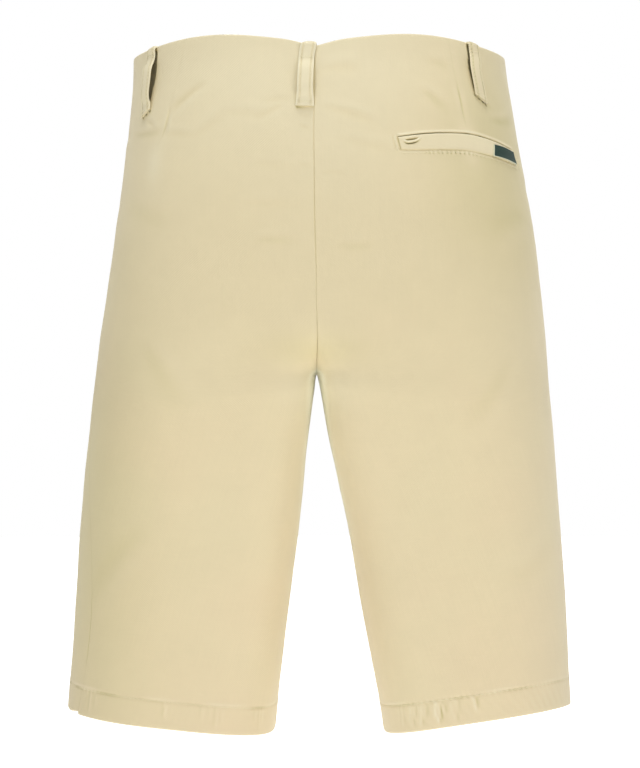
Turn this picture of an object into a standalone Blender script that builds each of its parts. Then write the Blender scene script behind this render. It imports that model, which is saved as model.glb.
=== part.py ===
"""Bermuda shorts in cotton twill, filled out as they are when worn.

Metres, +Z up. The wearer faces +Y, so the back with its welt pocket faces -Y and the
wearer's right is +X. The origin is the middle of the waist opening, 3 mm above the tops
of the side seams. Each side of the garment is a family of rings: half a body section
from the waist to the seat, which closes round the leg at the crotch and goes on as the
leg down to the hem. Every piece is worked out from points of those rings.
"""

import math

import bmesh
import bpy
import numpy as np
from mathutils import Vector

# ---- driving dimensions ----
CLOTH = 0.0012          # one layer of twill
HEM_WALL = 0.0026       # the turned-up hem, two layers and the turning
HEM_DEPTH = 0.020
WAIST_WALL = 0.0022     # the top of the waist, turned in
WAIST_TURN = 0.030
SEAM_GAP = 0.0003       # between two pieces at a seam, and under what lies on a panel

SEAT_Z = -0.136         # where the sections begin to close round the legs
CROTCH_Z = -0.246
CLOSING_START = 0.088   # how fast they open again from the crotch upwards
CLOSING_FULLER = 0.04   # they open by so much more just above it
FULLER_GROWTH = 10      # the powers by which that grows and fades upwards
FULLER_FADE = 6

# outer seam and inseam end at these heights; the back of each hem is lifted by so much
HEMS = {
    "left": {"outer_z": -0.5025, "inner_z": -0.5180, "lift": 0.002, "depth": 1.00},
    "right": {"outer_z": -0.5004, "inner_z": -0.5222, "lift": 0.010, "depth": 1.05},
}

# half widths from x = 0 to the silhouette on each side, the centre seam's place, the
# depth behind and before the side seams, and how square the section is
BODY_COLUMNS = ("z", "left", "right", "seam", "back", "front", "square")
BODY_ROWS = (
    (0.0000, 0.1446, 0.1432, -0.0015, 0.1130, 0.1040, 2.30),
    (-0.0160, 0.1444, 0.1456, -0.0012, 0.1165, 0.1065, 2.33),
    (-0.0320, 0.1450, 0.1480, -0.0009, 0.1205, 0.1090, 2.40),
    (-0.0630, 0.1482, 0.1528, -0.0014, 0.1270, 0.1125, 2.55),
    (-0.0940, 0.1513, 0.1577, -0.0010, 0.1320, 0.1150, 2.75),
    (-0.1410, 0.1574, 0.1653, -0.0003, 0.1365, 0.1170, 2.90),
    (-0.1870, 0.1644, 0.1710, 0.0005, 0.1370, 0.1175, 2.60),
    (-0.2150, 0.1687, 0.1742, -0.0012, 0.1350, 0.1165, 2.45),
    (-0.2460, 0.1726, 0.1767, -0.0026, 0.1305, 0.1140, 2.35),
    (-0.2810, 0.1768, 0.1802, -0.0026, 0.1240, 0.1100, 2.30),
    (-0.3435, 0.1838, 0.1847, -0.0026, 0.1120, 0.1020, 2.25),
    (-0.4060, 0.1889, 0.1891, -0.0020, 0.1015, 0.0940, 2.20),
    (-0.4680, 0.1929, 0.1924, -0.0020, 0.0925, 0.0870, 2.15),
    (-0.5200, 0.1969, 0.1950, -0.0020, 0.0865, 0.0820, 2.15),
)

# distance of the inseams from x = 0 below the crotch
INSEAM_COLUMNS = ("z", "left", "right")
INSEAM_ROWS = (
    (-0.2460, 0.00275, -0.00245),
    (-0.2482, 0.0032, -0.0019),
    (-0.2546, 0.0039, -0.0004),
    (-0.2655, 0.0054, 0.0017),
    (-0.2819, 0.0077, 0.0045),
    (-0.2980, 0.0099, 0.0075),
    (-0.3141, 0.0116, 0.0111),
    (-0.3301, 0.0131, 0.0145),
    (-0.3623, 0.0164, 0.0217),
    (-0.3944, 0.0204, 0.0273),
    (-0.4265, 0.0246, 0.0327),
    (-0.4587, 0.0284, 0.0387),
    (-0.4908, 0.0321, 0.0448),
    (-0.5150, 0.0345, 0.0490),
    (-0.5300, 0.0358, 0.0510),
)

# height of the waist edge, by degrees round each side from the centre back
WAIST_EDGE_COLUMNS = ("degrees", "height")
WAIST_EDGE_ROWS = (
    (0, -0.0073),
    (4, -0.0034),
    (10, -0.0004),
    (24, 0.0031),
    (40, 0.0022),
    (58, -0.0016),
    (74, -0.0030),
    (90, -0.0030),
    (120, -0.0080),
    (150, -0.0160),
    (180, -0.0220),
)
WAIST_EDGE_FADE = 0.130

# the side seams swing to the back of the left leg and the front of the right one
SIDE_SEAM_COLUMNS = ("z", "left", "right")
SIDE_SEAM_ROWS = (
    (0.0000, 0.0, 0.0),
    (-0.1000, 3.0, -1.0),
    (-0.2000, 10.0, -2.0),
    (-0.3000, 24.0, -4.0),
    (-0.4100, 42.0, -7.0),
    (-0.4600, 41.0, -8.0),
    (-0.5200, 33.0, -8.0),
)

INNER_SQUARE = 5.8      # how square the inner side of a leg is, at the crotch
HEM_SQUARE = 3.5        # the same at the hem
INNER_LEAN = 0.0244     # the inner walls of the legs turn 1.4 degrees with the hips
LEAN_REACH = 0.045      # from the inner edge to where they no longer turn
LEAN_FADE = 0.030       # of that, the length over which the turn fades
LEAN_TOP = -0.180       # they begin to turn here
LEAN_GROWTH = 0.050     # and turn fully so far below
FRONT_HEM_DROP = 0.5    # how far the front of a hem sinks, as a share of the lift behind

# ---- the mesh of a panel: the heights of its rows at the two seams that end them ----
PANEL_ROW_COLUMNS = ("inner", "outer")
PANEL_ROWS = (
    (0.0000, 0.0000),
    (-0.0140, -0.0140),
    (-0.0295, -0.0295),
    (-0.0305, -0.0305),
    (-0.0530, -0.0540),
    (-0.0770, -0.0790),
    (-0.1010, -0.1040),
    (-0.1250, -0.1290),
    (-0.1490, -0.1540),
    (-0.1730, -0.1780),
    (-0.1950, -0.2010),
    (-0.2130, -0.2200),
    (-0.2270, -0.2350),
    (-0.2350, -0.2460),
    (-0.2405, -0.2550),
    (-0.2440, -0.2640),
    (-0.2456, -0.2730),
)
# the same below the crotch, as shares of the way to the hem
LEG_ROWS = (
    (0.00, 0.145),
    (0.05, 0.180),
    (0.11, 0.225),
    (0.19, 0.285),
    (0.29, 0.365),
    (0.40, 0.455),
    (0.52, 0.555),
    (0.64, 0.660),
    (0.76, 0.770),
    (0.87, 0.870),
)
HEM_STEP = 0.001
PANEL_COLUMNS = 13
CORNER_PULL = 0.05      # how strongly the columns gather where a row bends, in metres a radian
RING_SAMPLES = 181

# ---- belt loops: tops above the waist edge, lengths and the gap for a belt ----
LOOP_WIDTH = 0.0115
LOOP_WALL = 0.0018
LOOP_SEGMENTS = 14
LOOP_TACK = 0.009       # the part tacked down at each end
LOOP_STAND_OFF = 0.0064
LOOP_ARCH = 0.75        # under 1, a loop rises soon after its tack and runs flat over the gap
LOOP_COLUMNS = ("name", "side", "degrees", "top", "length")
LOOP_ROWS = (
    ("centre_back", "left", 1.7, 0.0013, 0.0518),
    ("left_back", "left", 57.0, 0.0022, 0.0540),
    ("right_back", "right", 50.5, 0.0005, 0.0490),
    ("left_front", "left", 134.0, 0.0020, 0.0500),
    ("right_front", "right", 134.0, 0.0020, 0.0500),
)

# ---- pocket: the welt's edges by the distance from x = 0, and the tab on its side end ----
WELT_WALL = 0.0014
WELT_SEGMENTS = 20
WELT_COLUMNS = ("x", "top", "bottom")
WELT_ROWS = (
    (0.0592, -0.0747, -0.0831),
    (0.0690, -0.0729, -0.0834),
    (0.0829, -0.0711, -0.0827),
    (0.0960, -0.0700, -0.0821),
    (0.1095, -0.0695, -0.0823),
    (0.1175, -0.0701, -0.0825),
    (0.1268, -0.0713, -0.0835),
    (0.1383, -0.0746, -0.0862),
    (0.1443, -0.0762, -0.0878),
    (0.1504, -0.0784, -0.0893),
)
TAB_WALL = 0.0008
TAB_START = 0.1310
TAB_END = 0.1478
TAB_SEGMENTS = 6
TAB_HEIGHT = 0.0098
TAB_BELOW_TOP = 0.0022

# ---- fly ----
SHIELD_WALL = 0.0012
SHIELD_LEFT = -0.036
SHIELD_RIGHT = 0.008
SHIELD_TOP = -0.004     # below the waist edge
SHIELD_BOTTOM = -0.165
SHIELD_COLUMNS = 5
SHIELD_LEVELS = 9
BUTTON_RADIUS = 0.0085
BUTTON_WALL = 0.0028
BUTTON_DEPTH = 0.017    # below the waist edge
BUTTON_X = -0.012
BUTTON_TAPER = 0.9      # its face as a share of its back
BUTTON_SIDES = 32

SAND = (0.745, 0.665, 0.415)
DARK_GREEN = (0.030, 0.085, 0.070)
HORN = (0.300, 0.220, 0.120)
SHARP_DEGREES = 40


def clear_scene():
    for old in list(bpy.data.objects):
        bpy.data.objects.remove(old, do_unlink=True)


def table(columns, rows):
    return [dict(zip(columns, row)) for row in rows]


def spline(rows, key, value):
    """A natural cubic through two columns of a table, straight beyond its ends."""
    xs = np.array([row[key] for row in rows], float)
    ys = np.array([row[value] for row in rows], float)
    order = np.argsort(xs)
    xs, ys = xs[order], ys[order]
    step = np.diff(xs)
    slope = np.diff(ys) / step
    size = len(xs)
    matrix = np.eye(size)
    right = np.zeros(size)
    for i in range(1, size - 1):
        matrix[i, i - 1] = step[i - 1]
        matrix[i, i] = 2 * (step[i - 1] + step[i])
        matrix[i, i + 1] = step[i]
        right[i] = 6 * (slope[i] - slope[i - 1])
    bend = np.linalg.solve(matrix, right)
    first = slope[0] - step[0] * (2 * bend[0] + bend[1]) / 6
    last = slope[-1] + step[-1] * (bend[-2] + 2 * bend[-1]) / 6

    def at(x):
        x = np.asarray(x, float)
        i = np.clip(np.searchsorted(xs, x) - 1, 0, size - 2)
        a = (xs[i + 1] - x) / step[i]
        b = (x - xs[i]) / step[i]
        inside = (a * ys[i] + b * ys[i + 1]
                  + ((a ** 3 - a) * bend[i] + (b ** 3 - b) * bend[i + 1]) * step[i] ** 2 / 6)
        below = ys[0] + (x - xs[0]) * first
        above = ys[-1] + (x - xs[-1]) * last
        return np.where(x < xs[0], below, np.where(x > xs[-1], above, inside))

    return at


SIGN = {"left": -1.0, "right": 1.0}
BODY = table(BODY_COLUMNS, BODY_ROWS)
OUTER = {side: spline(BODY, "z", side) for side in SIGN}
SEAM_X = spline(BODY, "z", "seam")
BACK = spline(BODY, "z", "back")
FRONT = spline(BODY, "z", "front")
SQUARE = spline(BODY, "z", "square")
INNER = {side: spline(table(INSEAM_COLUMNS, INSEAM_ROWS), "z", side) for side in SIGN}
WAIST_EDGE = spline(table(WAIST_EDGE_COLUMNS, WAIST_EDGE_ROWS), "degrees", "height")
SIDE_SEAM = {side: spline(table(SIDE_SEAM_COLUMNS, SIDE_SEAM_ROWS), "z", side) for side in SIGN}
WELT = table(WELT_COLUMNS, WELT_ROWS)
WELT_TOP = spline(WELT, "x", "top")
WELT_BOTTOM = spline(WELT, "x", "bottom")


def closing(level):
    """0 where the section is half a body, 1 where it is a whole leg."""
    rise = np.clip((level - CROTCH_Z) / (SEAT_Z - CROTCH_Z), 0, 1)
    left = 1 - rise
    rise = rise + CLOSING_FULLER * left ** FULLER_FADE * (1 - left ** FULLER_GROWTH)
    opening = CLOSING_START * rise * (1 - rise) ** 2 + rise ** 2 * (3 - 2 * rise)
    return (1 - opening) / (1 + opening)


def leg_share(side, level):
    """0 at the crotch and above, 1 at the hem, with a soft start and end."""
    down = np.clip((CROTCH_Z - level) / (CROTCH_Z - HEMS[side]["outer_z"]), 0, 1)
    return down ** 2 * (3 - 2 * down)


def ring(side, level):
    """The size and place of the section at a level, measured at the side seam."""
    down = leg_share(side, level)
    drop = down * (HEMS[side]["outer_z"] - HEMS[side]["inner_z"])
    outer = OUTER[side](level)
    centre = SIGN[side] * SEAM_X(level) + SEAM_GAP / 2
    inner = np.where(down > 0, np.maximum(INNER[side](level - drop), centre), centre)
    half = (outer - inner) / (1 + closing(level))
    deeper = 1 + (HEMS[side]["depth"] - 1) * down
    return {
        "half": half,
        "middle": outer - half,
        "back": BACK(level) * deeper,
        "front": FRONT(level) * deeper,
        "outer_square": SQUARE(level),
        "inner_square": INNER_SQUARE + (HEM_SQUARE - INNER_SQUARE) * down,
        "drop": drop,
        "lift": HEMS[side]["lift"] * down,
    }


def lean(away, height):
    """The slant of the inner walls, by the distance from the inner edge and the height."""
    near = np.clip((LEAN_REACH - away) / LEAN_FADE, 0, 1)
    low = np.clip((LEAN_TOP - height) / LEAN_GROWTH, 0, 1)
    return INNER_LEAN * near ** 2 * (3 - 2 * near) * low ** 2 * (3 - 2 * low)


def surface(side, angle, level):
    """A point of the outer surface. The angle is 0 at the silhouette, positive behind."""
    fade = np.clip(1 + level / WAIST_EDGE_FADE, 0, 1) ** 2
    height = level + WAIST_EDGE(90 - np.degrees(angle)) * fade
    r = ring(side, height)
    cosine, sine = np.cos(angle), np.sin(angle)
    power = 2 / np.where(cosine >= 0, r["outer_square"], r["inner_square"])
    across = np.sign(cosine) * np.abs(cosine) ** power
    deep = np.abs(sine) ** power
    depth = np.where(sine >= 0, r["back"], r["front"])
    x = SIGN[side] * (r["middle"] + r["half"] * across)
    y = -np.sign(sine) * depth * deep
    x = x - lean(r["half"] * (across + closing(height)), height) * y
    lift = r["lift"] * np.where(sine >= 0, deep, -FRONT_HEM_DROP * deep)
    z = height - r["drop"] * (1 - across) / 2 + lift
    return np.stack([x, y, z], -1)


def normal(side, angle, level):
    """The outward normal of the surface."""
    turn, rise = 0.004, 0.0008
    sideways = surface(side, angle + turn, level) - surface(side, angle - turn, level)
    upward = surface(side, angle, level + rise) - surface(side, angle, level - rise)
    out = np.cross(upward, sideways) * SIGN[side]
    return out / np.linalg.norm(out, axis=-1, keepdims=True)


def centre_angle(side, level):
    """The angle at which a section meets the centre seam or the inseam."""
    r = ring(side, level)
    share = np.clip(closing(level), 0, 1)
    return math.pi - math.acos(float(share ** (r["inner_square"] / 2)))


def panel_row(side, face, inner_level, outer_level):
    """Points and normals of one row of a panel from seam to seam, closer where it bends."""
    seam = math.radians(float(SIDE_SEAM[side](outer_level)))
    inner = centre_angle(side, inner_level)
    start, end = (inner, seam) if face == "back" else (-inner, seam)
    angles = np.linspace(start, end, RING_SAMPLES)
    levels = np.linspace(inner_level, outer_level, RING_SAMPLES)
    points = surface(side, angles, levels)
    steps = np.diff(points, axis=0)
    lengths = np.linalg.norm(steps, axis=1)
    headings = steps / lengths[:, None]
    turns = np.arccos(np.clip((headings[1:] * headings[:-1]).sum(axis=1), -1, 1))
    run = np.concatenate([[0], np.cumsum(lengths)])
    weight = run + CORNER_PULL * np.concatenate([[0, 0], np.cumsum(turns)])
    stations = np.interp(np.linspace(0, weight[-1], PANEL_COLUMNS + 1), weight, run)
    stations[0] = SEAM_GAP / 2 if inner_level <= CROTCH_Z else 0.0
    stations[-1] = run[-1] - SEAM_GAP / 2
    angles = np.interp(stations, run, angles)
    levels = np.interp(stations, run, levels)
    return surface(side, angles, levels), normal(side, angles, levels)


def panel_rows(side):
    """Rows of a panel from the waist to the hem, each with its wall."""
    hem_z = HEMS[side]["outer_z"]
    rows = []
    for row in table(PANEL_ROW_COLUMNS, PANEL_ROWS):
        thickness = WAIST_WALL if row["inner"] > -WAIST_TURN else CLOTH
        rows.append((row["inner"], row["outer"], thickness))
    for row in table(PANEL_ROW_COLUMNS, LEG_ROWS):
        inner = CROTCH_Z + row["inner"] * (hem_z - CROTCH_Z)
        outer = CROTCH_Z + row["outer"] * (hem_z - CROTCH_Z)
        rows.append((inner, outer, CLOTH))
    for level, thickness in ((hem_z + HEM_DEPTH + HEM_STEP / 2, CLOTH),
                             (hem_z + HEM_DEPTH - HEM_STEP / 2, HEM_WALL),
                             (hem_z, HEM_WALL)):
        rows.append((level, level, thickness))
    return rows


def material(name, colour, roughness):
    made = bpy.data.materials.new(name)
    made.use_nodes = True
    shader = made.node_tree.nodes["Principled BSDF"]
    shader.inputs["Base Color"].default_value = (*colour, 1.0)
    shader.inputs["Roughness"].default_value = roughness
    shader.inputs["Metallic"].default_value = 0.0
    return made


def add_object(name, mesh, finish, collection):
    mesh.materials.append(finish)
    mesh.shade_smooth()
    mesh.set_sharp_from_angle(angle=math.radians(SHARP_DEGREES))
    piece = bpy.data.objects.new(name, mesh)
    collection.objects.link(piece)
    return piece


def wall(name, outer, inner, finish, collection):
    """A closed wall between two grids of points of the same size."""
    rows, columns = outer.shape[:2]
    shape = bmesh.new()
    front = [[shape.verts.new(point) for point in row] for row in outer]
    behind = [[shape.verts.new(point) for point in row] for row in inner]
    for i in range(rows - 1):
        for j in range(columns - 1):
            shape.faces.new((front[i][j], front[i][j + 1], front[i + 1][j + 1], front[i + 1][j]))
            shape.faces.new((behind[i][j], behind[i + 1][j], behind[i + 1][j + 1], behind[i][j + 1]))
    round_edge = [(0, j) for j in range(columns)] + [(i, columns - 1) for i in range(1, rows)]
    round_edge += [(rows - 1, j) for j in range(columns - 2, -1, -1)]
    round_edge += [(i, 0) for i in range(rows - 2, 0, -1)]
    for (i, j), (m, n) in zip(round_edge, round_edge[1:] + round_edge[:1]):
        shape.faces.new((front[i][j], behind[i][j], behind[m][n], front[m][n]))
    bmesh.ops.recalc_face_normals(shape, faces=shape.faces)
    mesh = bpy.data.meshes.new(name)
    shape.to_mesh(mesh)
    shape.free()
    return add_object(name, mesh, finish, collection)


def panel(side, face, finish, collection):
    outer, inner = [], []
    for inner_level, outer_level, thickness in panel_rows(side):
        points, normals = panel_row(side, face, inner_level, outer_level)
        outer.append(points)
        inner.append(points - normals * thickness)
    wall(f"{face}_{side}", np.array(outer), np.array(inner), finish, collection)


def belt_loop(row, finish, collection):
    """A strip tacked at both ends, which stands off the panel between them."""
    shares = np.linspace(0, 1, LOOP_SEGMENTS + 1)
    tack = LOOP_TACK / row["length"]
    free = np.clip((shares - tack) / (1 - 2 * tack), 0, 1)
    offset = SEAM_GAP + (LOOP_STAND_OFF - SEAM_GAP) * np.sin(math.pi * free) ** LOOP_ARCH
    levels = row["top"] - shares * row["length"]
    angles = np.full(len(levels), math.radians(90 - row["degrees"]))
    foot = surface(row["side"], angles, levels)
    out = normal(row["side"], angles, levels)
    across = np.cross(out, np.gradient(foot, axis=0))
    across /= np.linalg.norm(across, axis=1, keepdims=True)
    inner, outer = [], []
    for step in (-0.5, 0.0, 0.5):
        place = foot + across * (step * LOOP_WIDTH)
        inner.append(place + out * offset[:, None])
        outer.append(place + out * (offset + LOOP_WALL)[:, None])
    wall(f"belt_loop_{row['name']}", np.array(outer), np.array(inner), finish, collection)


def on_surface(side, face, x, z):
    """The surface's point and normal at a sideways place and a height, above the seat."""
    level = np.array(z, float)
    turn = 1.0 if face == "back" else -1.0
    for _ in range(6):
        r = ring(side, level)
        across = np.clip((SIGN[side] * x - r["middle"]) / r["half"], 0, 0.9999)
        angle = turn * np.arccos(across ** (r["outer_square"] / 2))
        level = level + (z - surface(side, angle, level)[..., 2])
    return surface(side, angle, level), normal(side, angle, level)


def pocket_welt(finish, collection):
    xs = np.linspace(WELT[0]["x"], WELT[-1]["x"], WELT_SEGMENTS + 1)
    inner, outer = [], []
    for share in (0.0, 0.5, 1.0):
        heights = WELT_TOP(xs) + share * (WELT_BOTTOM(xs) - WELT_TOP(xs))
        points, normals = on_surface("right", "back", xs, heights)
        inner.append(points + normals * SEAM_GAP)
        outer.append(points + normals * (SEAM_GAP + WELT_WALL))
    wall("pocket_welt", np.array(outer), np.array(inner), finish, collection)


def pocket_tab(finish, collection):
    xs = np.linspace(TAB_START, TAB_END, TAB_SEGMENTS + 1)
    lift = 2 * SEAM_GAP + WELT_WALL
    inner, outer = [], []
    for share in (0.0, 0.5, 1.0):
        heights = WELT_TOP(xs) - TAB_BELOW_TOP - share * TAB_HEIGHT
        points, normals = on_surface("right", "back", xs, heights)
        inner.append(points + normals * lift)
        outer.append(points + normals * (lift + TAB_WALL))
    wall("pocket_tab", np.array(outer), np.array(inner), finish, collection)


def fly_shield(finish, collection):
    """A flap behind both fronts, just clear of their walls."""
    xs = np.linspace(SHIELD_LEFT, SHIELD_RIGHT, SHIELD_COLUMNS + 1)
    heights = np.linspace(0.0, 1.0, SHIELD_LEVELS + 1)
    front_edge = float(WAIST_EDGE(180))
    inner, outer = [], []
    for share in heights:
        z = front_edge + SHIELD_TOP + share * (SHIELD_BOTTOM - front_edge - SHIELD_TOP)
        near, far = [], []
        for x in xs:
            side = "left" if x < 0 else "right"
            point, out = on_surface(side, "front", x, z)
            near.append(point - out * (WAIST_WALL + SEAM_GAP))
            far.append(point - out * (WAIST_WALL + SEAM_GAP + SHIELD_WALL))
        outer.append(near)
        inner.append(far)
    wall("fly_shield", np.array(outer), np.array(inner), finish, collection)


def waist_button(finish, collection):
    z = float(WAIST_EDGE(180)) - BUTTON_DEPTH
    point, out = on_surface("left", "front", BUTTON_X, z)
    shape = bmesh.new()
    bmesh.ops.create_cone(shape, cap_ends=True, segments=BUTTON_SIDES, radius1=BUTTON_RADIUS,
                          radius2=BUTTON_RADIUS * BUTTON_TAPER, depth=BUTTON_WALL)
    mesh = bpy.data.meshes.new("waist_button")
    shape.to_mesh(mesh)
    shape.free()
    button = add_object("waist_button", mesh, finish, collection)
    facing = bpy.data.objects.new("waist_button_place", None)
    collection.objects.link(facing)
    facing.location = point + out * (SEAM_GAP + BUTTON_WALL / 2)
    facing.rotation_mode = "QUATERNION"
    facing.rotation_quaternion = Vector(out).to_track_quat("Z", "Y")
    button.parent = facing


def main():
    clear_scene()
    collection = bpy.data.collections.new("bermuda_shorts")
    bpy.context.scene.collection.children.link(collection)
    twill = material("twill", SAND, roughness=0.9)
    for side in ("left", "right"):
        for face in ("back", "front"):
            panel(side, face, twill, collection)
    for row in table(LOOP_COLUMNS, LOOP_ROWS):
        belt_loop(row, twill, collection)
    pocket_welt(twill, collection)
    pocket_tab(material("woven_tab", DARK_GREEN, roughness=0.8), collection)
    fly_shield(twill, collection)
    waist_button(material("horn", HORN, roughness=0.35), collection)


main()
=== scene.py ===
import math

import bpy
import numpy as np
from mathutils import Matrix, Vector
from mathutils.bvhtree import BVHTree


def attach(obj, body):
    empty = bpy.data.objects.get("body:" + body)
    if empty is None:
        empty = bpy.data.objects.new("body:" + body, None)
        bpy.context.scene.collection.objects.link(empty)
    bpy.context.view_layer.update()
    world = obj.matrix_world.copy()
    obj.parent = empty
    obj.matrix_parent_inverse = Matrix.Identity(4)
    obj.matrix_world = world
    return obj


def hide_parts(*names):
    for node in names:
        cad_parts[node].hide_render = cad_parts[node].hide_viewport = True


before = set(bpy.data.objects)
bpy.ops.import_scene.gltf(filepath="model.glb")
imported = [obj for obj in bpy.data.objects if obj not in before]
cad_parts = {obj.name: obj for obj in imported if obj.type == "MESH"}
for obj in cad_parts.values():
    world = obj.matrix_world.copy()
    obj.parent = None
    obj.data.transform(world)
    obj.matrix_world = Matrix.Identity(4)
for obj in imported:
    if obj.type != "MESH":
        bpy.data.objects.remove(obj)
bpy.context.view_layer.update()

# Bermuda shorts in sand cotton twill, seen from behind and filled out as when worn.
# Metres, +Z up. The wearer faces +Y, so the back with its welt pocket faces -Y and the
# camera. The origin is the middle of the waist opening. Each side of the garment is a
# family of rings, as in the CAD: half a body section down to the seat, which closes
# round the leg at the crotch and goes on down to the hem. The cloth is a fine thin
# shell on those rings, with its creases, seams, darts and puckers added as relief.

MM = 0.001

# ---------------------------------------------------------------- the garment's sizes
CLOTH = 1.2 * MM
HEM_WALL = 2.6 * MM
HEM_DEPTH = 20 * MM
HEM_ROUND = 0.4 * MM        # what the rounded folds add to the cloth's two edges
WAIST_ROUND = 0.5 * MM
WAIST_WALL = 2.2 * MM
WAIST_TURN = 30 * MM
SEAT_Z = -0.136
CROTCH_Z = -0.246
CLOSING_START = 0.088       # how fast the sections open again from the crotch upwards
CLOSING_FULLER = 0.04       # they open by so much more just above it
FULLER_GROWTH = 10          # the powers by which that grows and fades upwards
FULLER_FADE = 6

HEMS = {
    "left": {"outer_z": -0.5025, "inner_z": -0.5180, "lift": 0.002, "depth": 1.00},
    "right": {"outer_z": -0.5004, "inner_z": -0.5222, "lift": 0.010, "depth": 1.05},
}
BODY_COLUMNS = ("z", "left", "right", "seam", "back", "front", "square")
BODY_ROWS = (
    (0.0000, 0.1446, 0.1432, -0.0015, 0.1130, 0.1040, 2.30),
    (-0.0160, 0.1444, 0.1456, -0.0012, 0.1165, 0.1065, 2.33),
    (-0.0320, 0.1450, 0.1480, -0.0009, 0.1205, 0.1090, 2.40),
    (-0.0630, 0.1482, 0.1528, -0.0014, 0.1270, 0.1125, 2.55),
    (-0.0940, 0.1513, 0.1577, -0.0010, 0.1320, 0.1150, 2.75),
    (-0.1410, 0.1574, 0.1653, -0.0003, 0.1365, 0.1170, 2.90),
    (-0.1870, 0.1644, 0.1710, 0.0005, 0.1370, 0.1175, 2.60),
    (-0.2150, 0.1687, 0.1742, -0.0012, 0.1350, 0.1165, 2.45),
    (-0.2460, 0.1726, 0.1767, -0.0026, 0.1305, 0.1140, 2.35),
    (-0.2810, 0.1768, 0.1802, -0.0026, 0.1240, 0.1100, 2.30),
    (-0.3435, 0.1838, 0.1847, -0.0026, 0.1120, 0.1020, 2.25),
    (-0.4060, 0.1889, 0.1891, -0.0020, 0.1015, 0.0940, 2.20),
    (-0.4680, 0.1929, 0.1924, -0.0020, 0.0925, 0.0870, 2.15),
    (-0.5200, 0.1969, 0.1950, -0.0020, 0.0865, 0.0820, 2.15),
)
INSEAM_COLUMNS = ("z", "left", "right")
INSEAM_ROWS = (
    (-0.2460, 0.00275, -0.00245),
    (-0.2482, 0.0032, -0.0019),
    (-0.2546, 0.0039, -0.0004),
    (-0.2655, 0.0054, 0.0017),
    (-0.2819, 0.0077, 0.0045),
    (-0.2980, 0.0099, 0.0075),
    (-0.3141, 0.0116, 0.0111),
    (-0.3301, 0.0131, 0.0145),
    (-0.3623, 0.0164, 0.0217),
    (-0.3944, 0.0204, 0.0273),
    (-0.4265, 0.0246, 0.0327),
    (-0.4587, 0.0284, 0.0387),
    (-0.4908, 0.0321, 0.0448),
    (-0.5150, 0.0345, 0.0490),
    (-0.5300, 0.0358, 0.0510),
)
# height of the waist edge, by degrees round each side from the centre back
WAIST_EDGE_COLUMNS = ("degrees", "height")
WAIST_EDGE_ROWS = (
    (0, -0.0073),
    (4, -0.0034),
    (10, -0.0004),
    (24, 0.0031),
    (40, 0.0022),
    (58, -0.0016),
    (74, -0.0030),
    (90, -0.0030),
    (120, -0.0080),
    (150, -0.0160),
    (180, -0.0220),
)
WAIST_EDGE_FADE = 0.130
SIDE_SEAM_COLUMNS = ("z", "left", "right")
SIDE_SEAM_ROWS = (
    (0.0000, 0.0, 0.0),
    (-0.1000, 3.0, -1.0),
    (-0.2000, 10.0, -2.0),
    (-0.3000, 24.0, -4.0),
    (-0.4100, 42.0, -7.0),
    (-0.4600, 41.0, -8.0),
    (-0.5200, 33.0, -8.0),
)
INNER_SQUARE = 5.8
HEM_SQUARE = 3.5
INNER_LEAN = 0.0244         # the inner walls of the legs turn 1.4 degrees with the hips
LEAN_REACH = 0.045          # from the inner edge to where they no longer turn
LEAN_FADE = 0.030           # of that, the length over which the turn fades
LEAN_TOP = -0.180           # they begin to turn here
LEAN_GROWTH = 0.050         # and turn fully so far below
FRONT_HEM_DROP = 0.5        # how far the front of a hem sinks, as a share of the lift behind
SURFACE_STEPS = 8           # rounds in which a point of the surface is found
SILHOUETTE = 0.9999         # how near to the silhouette such a point may lie, as a share


def table(columns, rows):
    return [dict(zip(columns, row)) for row in rows]


def spline(rows, key, value):
    """A natural cubic through two columns of a table, straight beyond its ends."""
    xs = np.array([row[key] for row in rows], float)
    ys = np.array([row[value] for row in rows], float)
    order = np.argsort(xs)
    xs, ys = xs[order], ys[order]
    step = np.diff(xs)
    slope = np.diff(ys) / step
    size = len(xs)
    matrix = np.eye(size)
    right = np.zeros(size)
    for i in range(1, size - 1):
        matrix[i, i - 1] = step[i - 1]
        matrix[i, i] = 2 * (step[i - 1] + step[i])
        matrix[i, i + 1] = step[i]
        right[i] = 6 * (slope[i] - slope[i - 1])
    bend = np.linalg.solve(matrix, right)
    first = slope[0] - step[0] * (2 * bend[0] + bend[1]) / 6
    last = slope[-1] + step[-1] * (bend[-2] + 2 * bend[-1]) / 6

    def at(x):
        x = np.asarray(x, float)
        i = np.clip(np.searchsorted(xs, x) - 1, 0, size - 2)
        a = (xs[i + 1] - x) / step[i]
        b = (x - xs[i]) / step[i]
        inside = (a * ys[i] + b * ys[i + 1]
                  + ((a ** 3 - a) * bend[i] + (b ** 3 - b) * bend[i + 1]) * step[i] ** 2 / 6)
        below = ys[0] + (x - xs[0]) * first
        above = ys[-1] + (x - xs[-1]) * last
        return np.where(x < xs[0], below, np.where(x > xs[-1], above, inside))

    return at


SIGN = {"left": -1.0, "right": 1.0}
BODY = table(BODY_COLUMNS, BODY_ROWS)
OUTER = {side: spline(BODY, "z", side) for side in SIGN}
SEAM_X = spline(BODY, "z", "seam")
BACK = spline(BODY, "z", "back")
FRONT = spline(BODY, "z", "front")
SQUARE = spline(BODY, "z", "square")
INNER = {side: spline(table(INSEAM_COLUMNS, INSEAM_ROWS), "z", side) for side in SIGN}
WAIST_EDGE = spline(table(WAIST_EDGE_COLUMNS, WAIST_EDGE_ROWS), "degrees", "height")
SIDE_SEAM = {side: spline(table(SIDE_SEAM_COLUMNS, SIDE_SEAM_ROWS), "z", side) for side in SIGN}


def smooth(value):
    """0 below 0, 1 above 1 and a soft step between."""
    value = np.clip(value, 0, 1)
    return value ** 2 * (3 - 2 * value)


def bump(distance, width):
    """1 at no distance, dying away on both sides."""
    return np.exp(-(distance / width) ** 2)


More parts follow.
